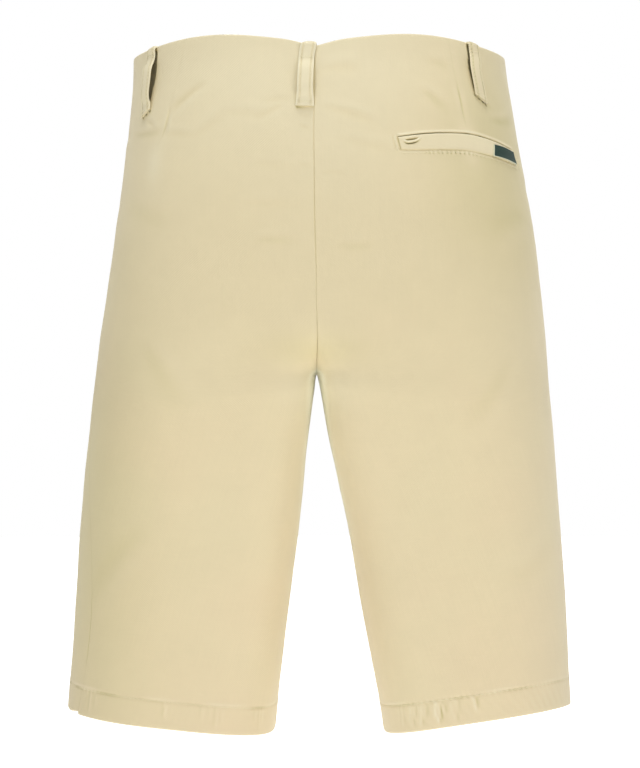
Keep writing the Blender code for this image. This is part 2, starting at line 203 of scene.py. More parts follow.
def ridges(distance, rows):
    """Ridges and grooves side by side: height, place and half width of each, in millimetres."""
    return sum(height * MM * bump(distance - place * MM, width * MM) for height, place, width in rows)


def window(value, first, last, rise, fall):
    """1 between two places and 0 outside them, with a soft step inside each."""
    return smooth((value - first) / rise) * smooth((last - value) / fall)


def signed_power(value, power):
    return np.sign(value) * np.abs(value) ** power


def closing(level):
    """0 where the section is half a body, 1 where it is a whole leg."""
    rise = np.clip((level - CROTCH_Z) / (SEAT_Z - CROTCH_Z), 0, 1)
    left = 1 - rise
    rise = rise + CLOSING_FULLER * left ** FULLER_FADE * (1 - left ** FULLER_GROWTH)
    opening = CLOSING_START * rise * (1 - rise) ** 2 + rise ** 2 * (3 - 2 * rise)
    return (1 - opening) / (1 + opening)


def leg_share(side, level):
    return smooth((CROTCH_Z - level) / (CROTCH_Z - HEMS[side]["outer_z"]))


def ring(side, level):
    """The size and place of the section at a level, measured at the side seam."""
    down = leg_share(side, level)
    drop = down * (HEMS[side]["outer_z"] - HEMS[side]["inner_z"])
    outer = OUTER[side](level)
    centre = SIGN[side] * SEAM_X(level)
    inner = np.where(down > 0, np.maximum(INNER[side](level - drop), centre), centre)
    half = (outer - inner) / (1 + closing(level))
    deeper = 1 + (HEMS[side]["depth"] - 1) * down
    return {
        "half": half,
        "middle": outer - half,
        "back": BACK(level) * deeper,
        "front": FRONT(level) * deeper,
        "outer_square": SQUARE(level),
        "inner_square": INNER_SQUARE + (HEM_SQUARE - INNER_SQUARE) * down,
        "drop": drop,
        "lift": HEMS[side]["lift"] * down,
    }


def lean(away, height):
    """The slant of the inner walls, by the distance from the inner edge and the height."""
    near = smooth((LEAN_REACH - away) / LEAN_FADE)
    return INNER_LEAN * near * smooth((LEAN_TOP - height) / LEAN_GROWTH)


def surface(side, angle, level):
    """A point of the outer surface. The angle is 0 at the silhouette, positive behind."""
    fade = np.clip(1 + level / WAIST_EDGE_FADE, 0, 1) ** 2
    height = level + WAIST_EDGE(90 - np.degrees(angle)) * fade
    r = ring(side, height)
    cosine, sine = np.cos(angle), np.sin(angle)
    power = 2 / np.where(cosine >= 0, r["outer_square"], r["inner_square"])
    across = signed_power(cosine, power)
    deep = np.abs(sine) ** power
    depth = np.where(sine >= 0, r["back"], r["front"])
    y = -np.sign(sine) * depth * deep
    x = SIGN[side] * (r["middle"] + r["half"] * across)
    x = x - lean(r["half"] * (across + closing(height)), height) * y
    lift = r["lift"] * np.where(sine >= 0, deep, -FRONT_HEM_DROP * deep)
    z = height - r["drop"] * (1 - across) / 2 + lift
    return np.stack([x, y, z], -1)


def unit(vectors):
    return vectors / np.linalg.norm(vectors, axis=-1, keepdims=True)


def run_along(points):
    """The distance of each point of a line from the first, along the line."""
    return np.concatenate([[0], np.cumsum(np.linalg.norm(np.diff(points, axis=0), axis=1))])


def normal(side, angle, level):
    """The outward normal of the surface."""
    turn, rise = 0.004, 0.0008
    sideways = surface(side, angle + turn, level) - surface(side, angle - turn, level)
    upward = surface(side, angle, level + rise) - surface(side, angle, level - rise)
    return unit(np.cross(upward, sideways) * SIGN[side])


def polar(side, angle, level, back_to_angle=False):
    """An even angle round a squared section from the angle of its equation, or back."""
    r = ring(side, level)
    square = np.where(np.cos(angle) >= 0, r["outer_square"], r["inner_square"])
    power = square / 2 if back_to_angle else 2 / square
    cosine, sine = np.cos(angle), np.sin(angle)
    return np.arctan2(signed_power(sine, power), signed_power(cosine, power))


def centre_angle(side, level):
    """The angle at which a section meets the centre seam or the inseam."""
    r = ring(side, level)
    share = np.clip(closing(level), 0, 1)
    return math.pi - np.arccos(share ** (r["inner_square"] / 2))


def on_surface(side, face, x, z):
    """The angle and level of the surface's point at a sideways place and a height."""
    level = np.array(z, float) + 0 * np.array(x, float)
    turn = 1.0 if face == "back" else -1.0
    for _ in range(SURFACE_STEPS):
        r = ring(side, level)
        across = np.clip((SIGN[side] * x - r["middle"]) / r["half"], -SILHOUETTE, SILHOUETTE)
        power = np.where(across >= 0, r["outer_square"], r["inner_square"]) / 2
        angle = turn * np.arccos(signed_power(across, power))
        level = level + (z - surface(side, angle, level)[..., 2])
    return angle, level


def skin_at(side, face, x, z):
    """The smooth surface's points and outward normals at sideways places and heights."""
    angle, level = on_surface(side, face, x, z)
    return surface(side, angle, level), normal(side, angle, level)


# ---------------------------------------------------------------- seams, darts, pocket
SEAM_ALLOWANCE = 10 * MM
DART_COLUMNS = ("level", "left", "right")
DART_ROWS = (   # degrees from the centre back
    (-0.0000, 39.5, 40.1),
    (-0.0300, 42.2, 40.4),
    (-0.0530, 43.3, 40.7),
    (-0.0700, 44.4, 40.7),
    (-0.0810, 46.3, 40.8),
)
DART_END = {"left": -0.082, "right": -0.068}
DART = {side: spline(table(DART_COLUMNS, DART_ROWS), "level", side) for side in SIGN}

WELT_COLUMNS = ("x", "top", "bottom")
WELT_ROWS = (
    (0.0592, -0.0748, -0.0838),
    (0.0690, -0.0733, -0.0839),
    (0.0829, -0.0716, -0.0834),
    (0.0960, -0.0707, -0.0828),
    (0.1047, -0.0704, -0.0826),
    (0.1120, -0.0706, -0.0830),
    (0.1197, -0.0716, -0.0840),
    (0.1268, -0.0731, -0.0850),
    (0.1328, -0.0746, -0.0860),
    (0.1383, -0.0763, -0.0872),
    (0.1443, -0.0783, -0.0886),
    (0.1504, -0.0804, -0.0898),
)
WELT = table(WELT_COLUMNS, WELT_ROWS)
WELT_TOP = spline(WELT, "x", "top")
WELT_BOTTOM = spline(WELT, "x", "bottom")
WELT_START, WELT_END = 0.0588, 0.1455
WELT_LEANS = (0.0021, 0.0022)   # how far its two ends slant outwards on their way down
WELT_ROW_TOP = -0.072       # the rows of the panel that follow the welt's two edges
WELT_ROW_BOTTOM = -0.083
WELT_REACH = 0.026          # how far above and below it the rows still bend
WELT_SIDE_REACH = 0.022     # and how far beside it

# creases as degrees round the side from the centre back and levels at their two ends,
# the sideways bow, depth and half width in millimetres; a minus depth is a ridge
CREASE_COLUMNS = ("side", "from_degrees", "from_level", "to_degrees", "to_level",
                  "bow", "depth", "width")
CREASE_ROWS = (
    # round the foot of the centre loop and down the centre-back seam
    ("left", 5.6, -0.0497, 11.4, -0.0596, -1.0, 0.42, 2.2),
    ("left", 4.0, -0.0455, 10.6, -0.0487, 0.6, 0.34, 1.8),
    ("right", 0.9, -0.0505, 11.4, -0.0638, 1.0, 0.42, 3.2),
    ("left", 2.6, -0.0562, 0.4, -0.0566, 0.2, 0.45, 1.1),
    ("left", 2.2, -0.0640, 0.3, -0.0668, 0.2, 0.42, 1.2),
    ("left", 1.7, -0.0951, 0.2, -0.0949, 0.1, 0.30, 1.3),
    ("left", 10.5, -0.0940, 2.2, -0.0972, 0.6, 0.16, 3.0),
    ("left", 11.5, -0.1228, 1.2, -0.1240, 0.4, 0.16, 3.2),
    ("right", 0.3, -0.1001, 3.6, -0.1006, 0.4, 0.22, 1.6),
    # across the top of the seat
    ("right", 0.9, -0.0205, 9.4, -0.0238, 0.8, 0.36, 4.4),
    ("right", 30.3, -0.0183, 38.6, -0.0220, 0.6, 0.30, 3.6),
    ("right", 26.6, -0.0405, 33.5, -0.0535, 1.4, 0.45, 3.6),
    ("right", 3.4, -0.0750, 14.3, -0.0844, -0.8, 0.22, 3.6),
    ("right", 54.0, -0.0573, 73.0, -0.0520, -2.0, 0.45, 3.4),
    ("right", 51.0, -0.0400, 56.0, -0.0480, -0.4, 0.30, 1.6),
    ("left", 30.1, -0.0350, 42.4, -0.0530, 1.2, 0.72, 2.9),
    ("left", 42.4, -0.0530, 43.3, -0.0688, 0.0, 0.40, 1.5),
    ("left", 66.0, -0.0645, 44.0, -0.0675, -1.2, 0.58, 2.8),
    ("left", 44.0, -0.0695, 31.0, -0.0728, 0.8, 0.34, 2.6),
    ("left", 31.0, -0.0728, 20.9, -0.0570, -2.0, 0.26, 3.6),
    ("left", 20.9, -0.0570, 9.0, -0.0605, 1.6, 0.24, 3.4),
    ("left", 56.0, -0.0560, 49.5, -0.0640, 0.8, 0.50, 1.8),
    # the seat and the back of the thighs
    ("left", 8.0, -0.1500, 1.4, -0.1500, 0.6, 0.26, 3.2),
    ("right", 0.8, -0.1533, 6.6, -0.1530, -1.0, 0.26, 3.2),
    ("left", 26.0, -0.2270, 5.0, -0.2660, 4.0, 0.24, 7.0),
    ("right", 34.0, -0.2350, 9.0, -0.2790, -4.0, 0.20, 7.0),
    ("left", 60.0, -0.1180, 34.0, -0.1330, -4.0, 0.20, 8.0),
    ("right", 70.0, -0.1300, 41.0, -0.1420, 5.0, 0.26, 8.0),
    ("left", 15.0, -0.3600, 52.0, -0.4180, 6.0, 0.20, 8.5),
    ("right", 20.0, -0.3950, 58.0, -0.3720, -7.0, 0.18, 8.5),
    # the sides
    ("left", 70.0, -0.0640, 112.0, -0.0730, 3.0, 0.45, 5.0),
    ("left", 76.0, -0.1160, 116.0, -0.1440, -6.0, 0.48, 7.5),
    ("right", 74.0, -0.1040, 108.0, -0.1220, 4.0, 0.42, 6.5),
    ("right", 82.0, -0.1720, 124.0, -0.1460, -7.0, 0.50, 8.5),
    ("left", 94.0, -0.2400, 106.0, -0.3800, 5.0, 0.50, 12.0),
    ("right", 90.0, -0.2250, 106.0, -0.3700, -6.0, 0.50, 12.0),
    ("left", 100.0, -0.3950, 88.0, -0.4800, -4.0, 0.42, 9.0),
    ("right", 100.0, -0.3850, 88.0, -0.4770, 4.0, 0.45, 9.5),
    # the front: whiskers from the crotch, and soft drags across the thighs
    ("left", 172.0, -0.2260, 128.0, -0.1840, -5.0, 0.75, 5.6),
    ("left", 171.0, -0.2080, 140.0, -0.1520, 4.0, 0.55, 5.0),
    ("left", 172.0, -0.2420, 132.0, -0.2300, 6.0, 0.70, 6.6),
    ("right", 172.0, -0.2280, 129.0, -0.1760, 6.0, 0.72, 5.8),
    ("right", 171.0, -0.2050, 144.0, -0.1490, -4.0, 0.50, 4.8),
    ("right", 173.0, -0.2440, 134.0, -0.2440, -5.0, 0.66, 6.4),
    ("left", 122.0, -0.2200, 150.0, -0.3060, -8.0, 0.55, 11.0),
    ("right", 118.0, -0.2380, 148.0, -0.3180, 8.0, 0.52, 11.0),
    ("left", 152.0, -0.3150, 108.0, -0.4100, 9.0, 0.50, 12.0),
    ("right", 156.0, -0.3350, 112.0, -0.4250, -9.0, 0.52, 12.0),
    ("left", 114.0, -0.0600, 150.0, -0.0770, 3.5, 0.42, 5.4),
    ("right", 112.0, -0.0700, 152.0, -0.0630, -3.5, 0.38, 5.6),
    ("left", 176.0, -0.1820, 156.0, -0.1660, 1.8, 0.36, 3.4),
    ("right", 176.0, -0.1880, 157.0, -0.1780, -1.8, 0.36, 3.6),
)
CREASE_POINTS = 15
CREASE_REACH = 4.0          # half widths at which a crease has died away
CREASE_TIP = 0.02           # share of its length that is left out of its taper at each end
CREASE_GROWTH = (0.75, 0.5) # its width at the start and what it gains, as shares
CREASE_RIM = 0.45           # the ridge beside it, as a share of its depth
CREASE_RIM_AT = 1.7         # and the half widths at which it lies

# hem puckers in groups: distance from the inseam, number, pitch, depth (all in mm), slant
PUCKER_COLUMNS = ("side", "face", "start", "count", "pitch", "depth", "slant")
PUCKER_ROWS = (
    ("right", "back", 91.5, 7, 2.4, 0.26, -0.25),
    ("right", "back", 113.0, 3, 3.2, 0.56, -0.28),
    ("right", "back", 125.0, 2, 3.4, 0.26, -0.26),
    ("right", "back", 140.5, 1, 4.6, 0.34, -0.02),
    ("right", "back", 79.0, 2, 5.2, 0.18, -0.20),
    ("right", "back", 226.0, 3, 6.2, 0.14, -0.10),
    ("left", "back", 70.0, 3, 4.4, 0.14, -0.14),
    ("left", "back", 106.0, 4, 4.6, 0.10, -0.14),
    ("left", "back", 148.0, 1, 5.0, 0.24, -0.14),
    ("left", "back", 206.0, 2, 7.4, 0.12, -0.10),
    ("right", "front", 84.0, 6, 4.4, 0.34, -0.14),
    ("right", "front", 136.0, 5, 6.4, 0.22, -0.12),
    ("right", "front", 200.0, 7, 4.2, 0.26, -0.06),
    ("left", "front", 78.0, 5, 5.0, 0.30, -0.14),
    ("left", "front", 124.0, 8, 4.0, 0.24, -0.12),
    ("left", "front", 210.0, 5, 6.6, 0.22, -0.06),
)
PUCKERS = table(PUCKER_COLUMNS, PUCKER_ROWS)


# ---------------------------------------------------------------- the panels' grids
PANEL_COLUMNS = 184
DART_SHARE = 0.47           # share of a back panel's columns between its inner seam and dart
DART_FADE = 0.12            # how far below the dart its column still follows it
RING_SAMPLES = 260
LEVEL_SAMPLES = 6000
CROTCH_SAMPLES = 500
CROTCH_CLOSENESS = 4        # the power by which those samples gather at the crotch
CORNER_PULL = 0.05          # how strongly columns gather where a row bends
SEAM_STEPS = np.array((0.0, 0.35, 0.75, 1.2, 1.75, 2.4, 3.3, 4.6)) * MM
DART_STEPS = np.array((0.0, 0.45, 0.95, 1.6, 2.6, 4.2)) * MM
LEG_START = 0.145           # share of the way down the outer seam where the inseam begins
SEAT_START = -0.201         # from here down, the rows gather towards the crotch
SEAT_INNER_RISE = 0.051
SEAT_ROW_RISE = 0.006       # how much higher a row ends at the centre seam there
SEAT_PACE = (0.53, 1.04, -0.57)     # how the rows' ends speed up along the crotch seam
LEG_GATHER = 1.9
LEG_LEVELS_OUT = 0.725
STEP_RISE = 1.9 * MM        # the left front's hem sits this much higher beside the side seam
STEP_WIDTH = 22 * MM

# the distance between rows of points, by level
ROW_STEPS = (
    (0.000, 0.9 * MM), (-0.004, 1.6 * MM), (-0.012, 2.1 * MM), (-0.200, 2.2 * MM),
    (-0.300, 2.6 * MM), (-0.440, 2.6 * MM), (-0.468, 1.9 * MM), (-0.477, 1.0 * MM),
    (-0.486, 0.9 * MM), (-0.5025, 1.5 * MM),
)
POCKET_ROW_STEPS = (
    (0.000, 0.9 * MM), (-0.004, 1.6 * MM), (-0.012, 2.1 * MM), (-0.058, 1.9 * MM),
    (-0.0685, 0.8 * MM), (-0.0705, 0.4 * MM), (-0.0745, 0.4 * MM), (-0.078, 0.9 * MM),
    (-0.082, 0.5 * MM), (-0.087, 0.6 * MM), (-0.094, 1.9 * MM), (-0.200, 2.3 * MM),
    (-0.300, 2.6 * MM), (-0.440, 2.6 * MM), (-0.468, 1.9 * MM), (-0.477, 1.0 * MM),
    (-0.486, 0.9 * MM), (-0.5004, 1.5 * MM),
)


def graded(steps):
    """Levels from the first to the last row of a table of steps, an even number apart."""
    fine = np.linspace(steps[0][0], steps[-1][0], LEVEL_SAMPLES)
    stops = np.array(steps)[::-1]
    step = np.interp(fine, stops[:, 0], stops[:, 1])
    count = np.concatenate([[0], np.cumsum(np.abs(np.diff(fine)) / step[1:])])
    rows = 2 * round(count[-1] / 2)
    return np.interp(np.linspace(0, count[-1], rows + 1), count, fine)


def crotch_levels(side, face, shares):
    """Levels of the centre seam at shares of its length from the seat to the crotch."""
    turn = 1 if face == "back" else -1
    levels = CROTCH_Z + SEAT_INNER_RISE * np.linspace(1, 0, CROTCH_SAMPLES) ** CROTCH_CLOSENESS
    run = run_along(surface(side, turn * centre_angle(side, levels), levels))
    return np.interp(shares * run[-1], run, levels)


def inner_levels(side, face, outer):
    """Where the rows end at the centre seam or the inseam, by their side-seam levels."""
    hem_z = HEMS[side]["outer_z"]
    leg_top = CROTCH_Z + LEG_START * (hem_z - CROTCH_Z)
    body = np.clip((-WAIST_TURN - outer) / (-WAIST_TURN - SEAT_START), 0, 1)
    body = outer + SEAT_ROW_RISE * body
    down = np.clip((SEAT_START - outer) / (SEAT_START - leg_top), 0, 1)
    pace = SEAT_PACE[0] * down + SEAT_PACE[1] * down ** 2 + SEAT_PACE[2] * down ** 3
    seat = crotch_levels(side, face, pace)
    share = (outer - CROTCH_Z) / (hem_z - CROTCH_Z)
    left = np.clip(1 - (share - LEG_START) / LEG_LEVELS_OUT, 0, 1)
    leg = CROTCH_Z + (share - LEG_START * left ** LEG_GATHER) * (hem_z - CROTCH_Z)
    return np.where(outer > SEAT_START, body, np.where(outer > leg_top, seat, leg))


def welt_bend(x, level):
    """How far a row moves so that two of the rows follow the edges of the welt."""
    inside = window(x, WELT_START - WELT_SIDE_REACH, WELT_END + WELT_SIDE_REACH,
                    WELT_SIDE_REACH, WELT_SIDE_REACH)
    held = np.clip(x, WELT_START, WELT_END)
    top = WELT_TOP(held) - WELT_ROW_TOP
    bottom = WELT_BOTTOM(held) - WELT_ROW_BOTTOM
    down = np.clip((WELT_ROW_TOP - level) / (WELT_ROW_TOP - WELT_ROW_BOTTOM), 0, 1)
    above = smooth(1 - (level - WELT_ROW_TOP) / WELT_REACH)
    below = smooth(1 - (WELT_ROW_BOTTOM - level) / WELT_REACH)
    return inside * above * below * (top + (bottom - top) * down)


def stations_between(start, end, weight, run, count, first_steps, last_steps):
    """Distances along a row from start to end, close together at both ends."""
    first = start + first_steps
    last = end - last_steps[::-1]
    middle = count - len(first) - len(last) + 2
    low, high = np.interp([first[-1], last[0]], run, weight)
    inner = np.interp(np.linspace(low, high, middle + 1), weight, run)[1:-1]
    return np.concatenate([first, inner, last])


def panel_grid(side, face):
    """Angles, levels and distances from the inner seam of the points of a panel."""
    pocket = (side, face) == ("right", "back")
    steps = list(POCKET_ROW_STEPS if pocket else ROW_STEPS)
    steps[0] = (-WAIST_ROUND, steps[0][1])
    steps[-1] = (HEMS[side]["outer_z"] + HEM_ROUND, steps[-1][1])
    outer = graded(steps)
    inner = inner_levels(side, face, outer)
    before = round(PANEL_COLUMNS * DART_SHARE)
    angles, levels, stations, runs, darts = [], [], [], [], []
    for top, low in zip(inner, outer):
        seam = np.radians(SIDE_SEAM[side](low))
        centre = centre_angle(side, top) * (1 if face == "back" else -1)
        level = np.linspace(top, low, RING_SAMPLES)
        even = np.linspace(polar(side, centre, top), polar(side, seam, low), RING_SAMPLES)
        points = surface(side, polar(side, even, level, True), level)
        if pocket:
            points[:, 2] += welt_bend(points[:, 0], level)
            level = level + welt_bend(points[:, 0], level)
        headings = unit(np.diff(points, axis=0))
        turns = np.arccos(np.clip((headings[1:] * headings[:-1]).sum(axis=1), -1, 1))
        run = run_along(points)
        weight = run + CORNER_PULL * np.concatenate([[0, 0], np.cumsum(turns)])
        if face == "back":
            dart_angle = polar(side, np.radians(90 - DART[side](max(low, DART_END[side]))), low)
            below = smooth((DART_END[side] - low) / DART_FADE)
            dart = np.interp(-dart_angle, -even, run) * (1 - below) + DART_SHARE * run[-1] * below
            row = stations_between(0, dart, weight, run, before, SEAM_STEPS, DART_STEPS)
            rest = stations_between(dart, run[-1], weight, run, PANEL_COLUMNS - before,
                                    DART_STEPS, SEAM_STEPS)
            row = np.concatenate([row, rest[1:]])
        else:
            row = stations_between(0, run[-1], weight, run, PANEL_COLUMNS, SEAM_STEPS, SEAM_STEPS)
        levels.append(np.interp(row, run, level))
        angles.append(polar(side, np.interp(row, run, even), levels[-1], True))
        stations.append(row)
        runs.append(np.full(len(row), run[-1]))
        darts.append(np.full(len(row), row[before] if face == "back" else np.nan))
    levels, stations, runs = np.array(levels), np.array(stations), np.array(runs)
    if (side, face) == ("left", "front"):
        beside = smooth(1 - (runs - stations) / STEP_WIDTH)
        levels = levels + STEP_RISE * beside * smooth(1 - (outer[:, None] - outer[-1]) / HEM_DEPTH)
    return {"side": side, "face": face, "angle": np.array(angles), "level": levels,
            "u": stations, "run": runs, "dart": np.array(darts),
            "v": np.repeat(outer[:, None], PANEL_COLUMNS + 1, axis=1)}


# ---------------------------------------------------------------- the relief of the cloth
WAVE_SPREAD = (0.75, 1.5)   # shares of the wavelength between which the waves lie
WAVE_PEAK = 1.6             # the usual height of their peaks, which is taken as 1


def waves(points, wavelength, seed, count=7):
    """Soft even noise from a few plane waves, about -1 to 1."""
    random = np.random.RandomState(seed)
    total = np.zeros(points.shape[:-1])
    for _ in range(count):
        direction = random.normal(size=3)
        direction /= np.linalg.norm(direction)
        length = wavelength * random.uniform(*WAVE_SPREAD)
        phase = random.uniform(0, 2 * math.pi)
        total += np.sin(points @ direction * 2 * math.pi / length + phase)
    return total / math.sqrt(count / 2) / WAVE_PEAK


def crease_relief(side, points, normals):
    """All listed creases on one side of the garment, as heights."""
    height = np.zeros(len(points))
    for row in table(CREASE_COLUMNS, CREASE_ROWS):
        if row["side"] != side:
            continue
        share = np.linspace(0, 1, CREASE_POINTS)
        degrees = row["from_degrees"] + share * (row["to_degrees"] - row["from_degrees"])
        levels = row["from_level"] + share * (row["to_level"] - row["from_level"])
        levels = levels + row["bow"] * MM * 4 * share * (1 - share)
        line = surface(side, np.radians(90 - degrees), levels)
        width = row["width"] * MM
        reach = CREASE_REACH * width
        near = ((points > line.min(axis=0) - reach) & (points < line.max(axis=0) + reach)).all(axis=1)
        index = np.nonzero(near)[0]
        if not len(index):
            continue
        here = points[index]
        best = np.full(len(index), np.inf)
        along = np.zeros(len(index))
        across = np.zeros(len(index))
        for k in range(CREASE_POINTS - 1):
            start, step = line[k], line[k + 1] - line[k]
            place = np.clip((here - start) @ step / (step @ step), 0, 1)
            away = here - start - place[:, None] * step
            distance = np.linalg.norm(away, axis=1)
            closer = distance < best
            best = np.where(closer, distance, best)
            along = np.where(closer, (k + place) / (CREASE_POINTS - 1), along)
            turn = np.cross(normals[index], step)
            side_of = np.sign((away * turn).sum(axis=1))
            across = np.where(closer, side_of * distance, across)
        taper = np.sqrt(np.clip(np.sin(math.pi * np.clip(along, CREASE_TIP, 1 - CREASE_TIP)), 0, 1))
        wide = width * (CREASE_GROWTH[0] + CREASE_GROWTH[1] * along)
        shape = -bump(best, wide) + CREASE_RIM * bump(across - CREASE_RIM_AT * wide, wide)
        height[index] += row["depth"] * MM * taper * shape * smooth(2 - best / (2 * width))
    return height


# the hem's seeds, its groove and ridge (as ridges, up from its stitches), how each part
# comes and goes along it (wavelength in metres, seed, mean, swing, least and most), its
# roping and its stitches
HEM_SEEDS = {"left": 11, "right": 23}
HEM_GROOVE = ((-0.24, 0.0, 0.8),)
HEM_RIDGE = ((0.20, 1.6, 1.3),)
HEM_UNEVEN = {
    "pull": (0.085, 0, 0.5, 0.5, -math.inf, math.inf),
    "groove": (0.026, 5, 0.45, 0.95, 0.05, 1.35),
    "ridge": (0.041, 9, 0.6, 0.9, 0.12, 1.2),
    "phase": (0.040, 1, 0.0, 1.6, -math.inf, math.inf),
}
ROPING = 0.10 * MM
ROPING_PITCH = 7.5 * MM
ROPING_SLANT = 0.45
SEWN_PULL = 0.16 * MM
SEWN_PITCH = 4.6 * MM
SEWN_WIDTH = 2.0 * MM
PULL_START = 0.45           # the pull under which the hem lies flat
# a pucker's section: the half width of its crest, then the share, place and half width of
# the dip beside it; how the puckers of a group differ, each the swing and pace of a sine
# over their number; and how far they reach down, in millimetres
PUCKER_CREST = 1.15 * MM
PUCKER_DIP = 0.8
PUCKER_DIP_PLACE = 1.9 * MM
PUCKER_DIP_WIDTH = 1.1 * MM
PUCKER_SIZE = (0.35, 2.4)
PUCKER_PLACE = (0.25, 5.1)
PUCKER_TURN = (0.03, 3.3)
PUCKER_LENGTH = (4, 1.9)
PUCKER_REACH = 15


def uneven(part, points, seed):
    """How much of a part of the hem is there, from point to point."""
    wavelength, own_seed, mean, swing, least, most = HEM_UNEVEN[part]
    return np.clip(mean + swing * waves(points, wavelength, seed + own_seed), least, most)


def sway(swing_and_pace, i, start=0):
    swing, pace = swing_and_pace
    return swing * math.sin(pace * i + start)


def hem_relief(grid, points):
    """The stitched groove above the hem, the doubled cloth under it and its puckers."""
    above = grid["v"] - HEMS[grid["side"]]["outer_z"]
    u = grid["u"]
    seed = HEM_SEEDS[grid["side"]]
    pull = uneven("pull", points, seed)
    phase = uneven("phase", points, seed)
    groove = ridges(above - HEM_DEPTH, HEM_GROOVE) * uneven("groove", points, seed)
    ridge = ridges(above - HEM_DEPTH, HEM_RIDGE) * uneven("ridge", points, seed)
    rope = np.sin(2 * math.pi * (u + ROPING_SLANT * above) / ROPING_PITCH + phase)
    rope = ROPING * rope * window(above, 0, HEM_DEPTH, 4 * MM, 5 * MM)
    sewn = SEWN_PULL * np.sin(2 * math.pi * u / SEWN_PITCH + 0.8 * phase)
    sewn = sewn * bump(above - HEM_DEPTH, SEWN_WIDTH) * np.clip(1.5 * pull - PULL_START, 0.05, 1)
    total = groove + ridge + rope * np.clip(pull - PULL_START, 0, 1) + sewn
    for row in PUCKERS:
        if (row["side"], row["face"]) != (grid["side"], grid["face"]):
            continue
        for i in range(row["count"]):
            size = 1 + sway(PUCKER_SIZE, i, row["start"])
            centre = (row["start"] + row["pitch"] * (i + sway(PUCKER_PLACE, i))) * MM
            slant = row["slant"] + sway(PUCKER_TURN, i, row["start"])
            reach = (PUCKER_REACH + sway(PUCKER_LENGTH, i)) * MM
            away = u - centre - slant * (HEM_DEPTH - above)
            length = window(above - HEM_DEPTH, -reach, 0, 6 * MM, 1.5 * MM)
            dip = PUCKER_DIP * bump(away - PUCKER_DIP_PLACE, PUCKER_DIP_WIDTH)
            section = bump(away, PUCKER_CREST) - dip
            total = total + row["depth"] * MM * size * section * length
    return total


# how deep the edges roll in, in millimetres: at the centre seam and inseam, less by some
# at the seat, and at the side seam, more by some low on the legs; then over what width
SEAM_ROLL = 0.32
SEAM_ROLL_AT_SEAT = -0.17
SIDE_ROLL = 0.12
SIDE_ROLL_LOW = 0.18
SEAM_ROLL_WIDTH = 0.80
SIDE_ROLL_WIDTH = 1.0
SEAT_TOP = -0.150
SIDE_LOW_START = -0.400
SIDE_LOW_END = -0.452
LAYER_HEM = 0.22 * MM       # the steps of what lies doubled behind: hem and seam allowances
LAYER_SEAM = 0.07 * MM


def seam_relief(grid):
    """Edges rolled into the centre seam and inseam, and more softly into the side seam."""
    level = grid["level"]
    low = smooth((SIDE_LOW_START - level) / 0.03) - 1.6 * smooth((SIDE_LOW_END - level) / 0.02)
    seat = window(level, CROTCH_Z, SEAT_TOP, 20 * MM, 0.03)
    rolls = ((grid["u"], SEAM_ROLL + SEAM_ROLL_AT_SEAT * seat, SEAM_ROLL_WIDTH),
             (grid["run"] - grid["u"], SIDE_ROLL + SIDE_ROLL_LOW * low, SIDE_ROLL_WIDTH))
    return sum(-depth * MM * np.clip(1 - distance / (width * MM), 0, 1) ** 2
               for distance, depth, width in rolls)


def layers_relief(grid):
    """The faint step of the cloth that lies doubled behind: allowances and hem."""
    above = grid["v"] - HEMS[grid["side"]]["outer_z"]
    total = LAYER_HEM * smooth((HEM_DEPTH - above) / (1.5 * MM))
    for distance in (grid["u"], grid["run"] - grid["u"]):
        total = total + LAYER_SEAM * smooth((SEAM_ALLOWANCE + 3 * MM - distance) / (6 * MM))
    return total


FLY_WIDTH = 36 * MM
FLY_BOTTOM = -0.150
FLY_INSET = 2 * MM          # of its outer row of stitches
FLY_LAP = 1.0 * MM          # how far the left front stands up over the fly
FLY_EDGE_ROLL = 0.2 * MM
FLY_GROOVE = 0.14 * MM
FLY_SINK = 0.5 * MM         # how far the right front sinks under it


def front_relief(grid, points):
    """The left front laps over the right one down to the foot of the fly."""
    on_fly = smooth((points[..., 2] - FLY_BOTTOM) / (12 * MM))
    if grid["side"] == "left":
        lap = FLY_LAP * smooth((FLY_WIDTH + 2 * MM - grid["u"]) / (5 * MM))
        lap = lap - FLY_EDGE_ROLL * np.clip(1 - grid["u"] / (1.0 * MM), 0, 1) ** 2
        sewn = np.abs(grid["u"] - FLY_WIDTH + FLY_INSET)
        return on_fly * lap, -FLY_GROOVE * on_fly * bump(sewn, 0.8 * MM)
    return -FLY_SINK * on_fly * smooth((6 * MM - grid["u"]) / (6 * MM)), 0.0


DART_SHOWN = {"left": -0.046, "right": -0.030}     # above this level a dart is pressed flat
DART_FLAT = 0.18            # what is left of it there, and what comes back below
DART_BACK = 0.82
DART_GROOVE = ((-0.42, 0.0, 0.75),)
DART_BAND = 0.10 * MM       # the doubled cloth behind it
DART_BAND_WIDTH = 6.5 * MM
DART_TIP = ((0.26, 0.0, 8.0),)
DART_TIP_BELOW = 9 * MM
DART_TIP_HEIGHT = 16 * MM


def dart_relief(grid):
    """A dart's seam: a fine groove that dies away at its tip, with a soft pull beyond."""
    side = grid["side"]
    away = grid["u"] - grid["dart"]
    left = smooth((grid["level"] - DART_END[side]) / (30 * MM))
    crisp = DART_FLAT + DART_BACK * smooth((DART_SHOWN[side] - grid["level"]) / (14 * MM))
    groove = ridges(away, DART_GROOVE) * left ** 0.6 * crisp
    band = DART_BAND * smooth((np.abs(away) - DART_BAND_WIDTH) / (-3 * MM)) * left * crisp
    below = bump(grid["level"] - DART_END[side] + DART_TIP_BELOW, DART_TIP_HEIGHT)
    return groove + band + ridges(away, DART_TIP) * below


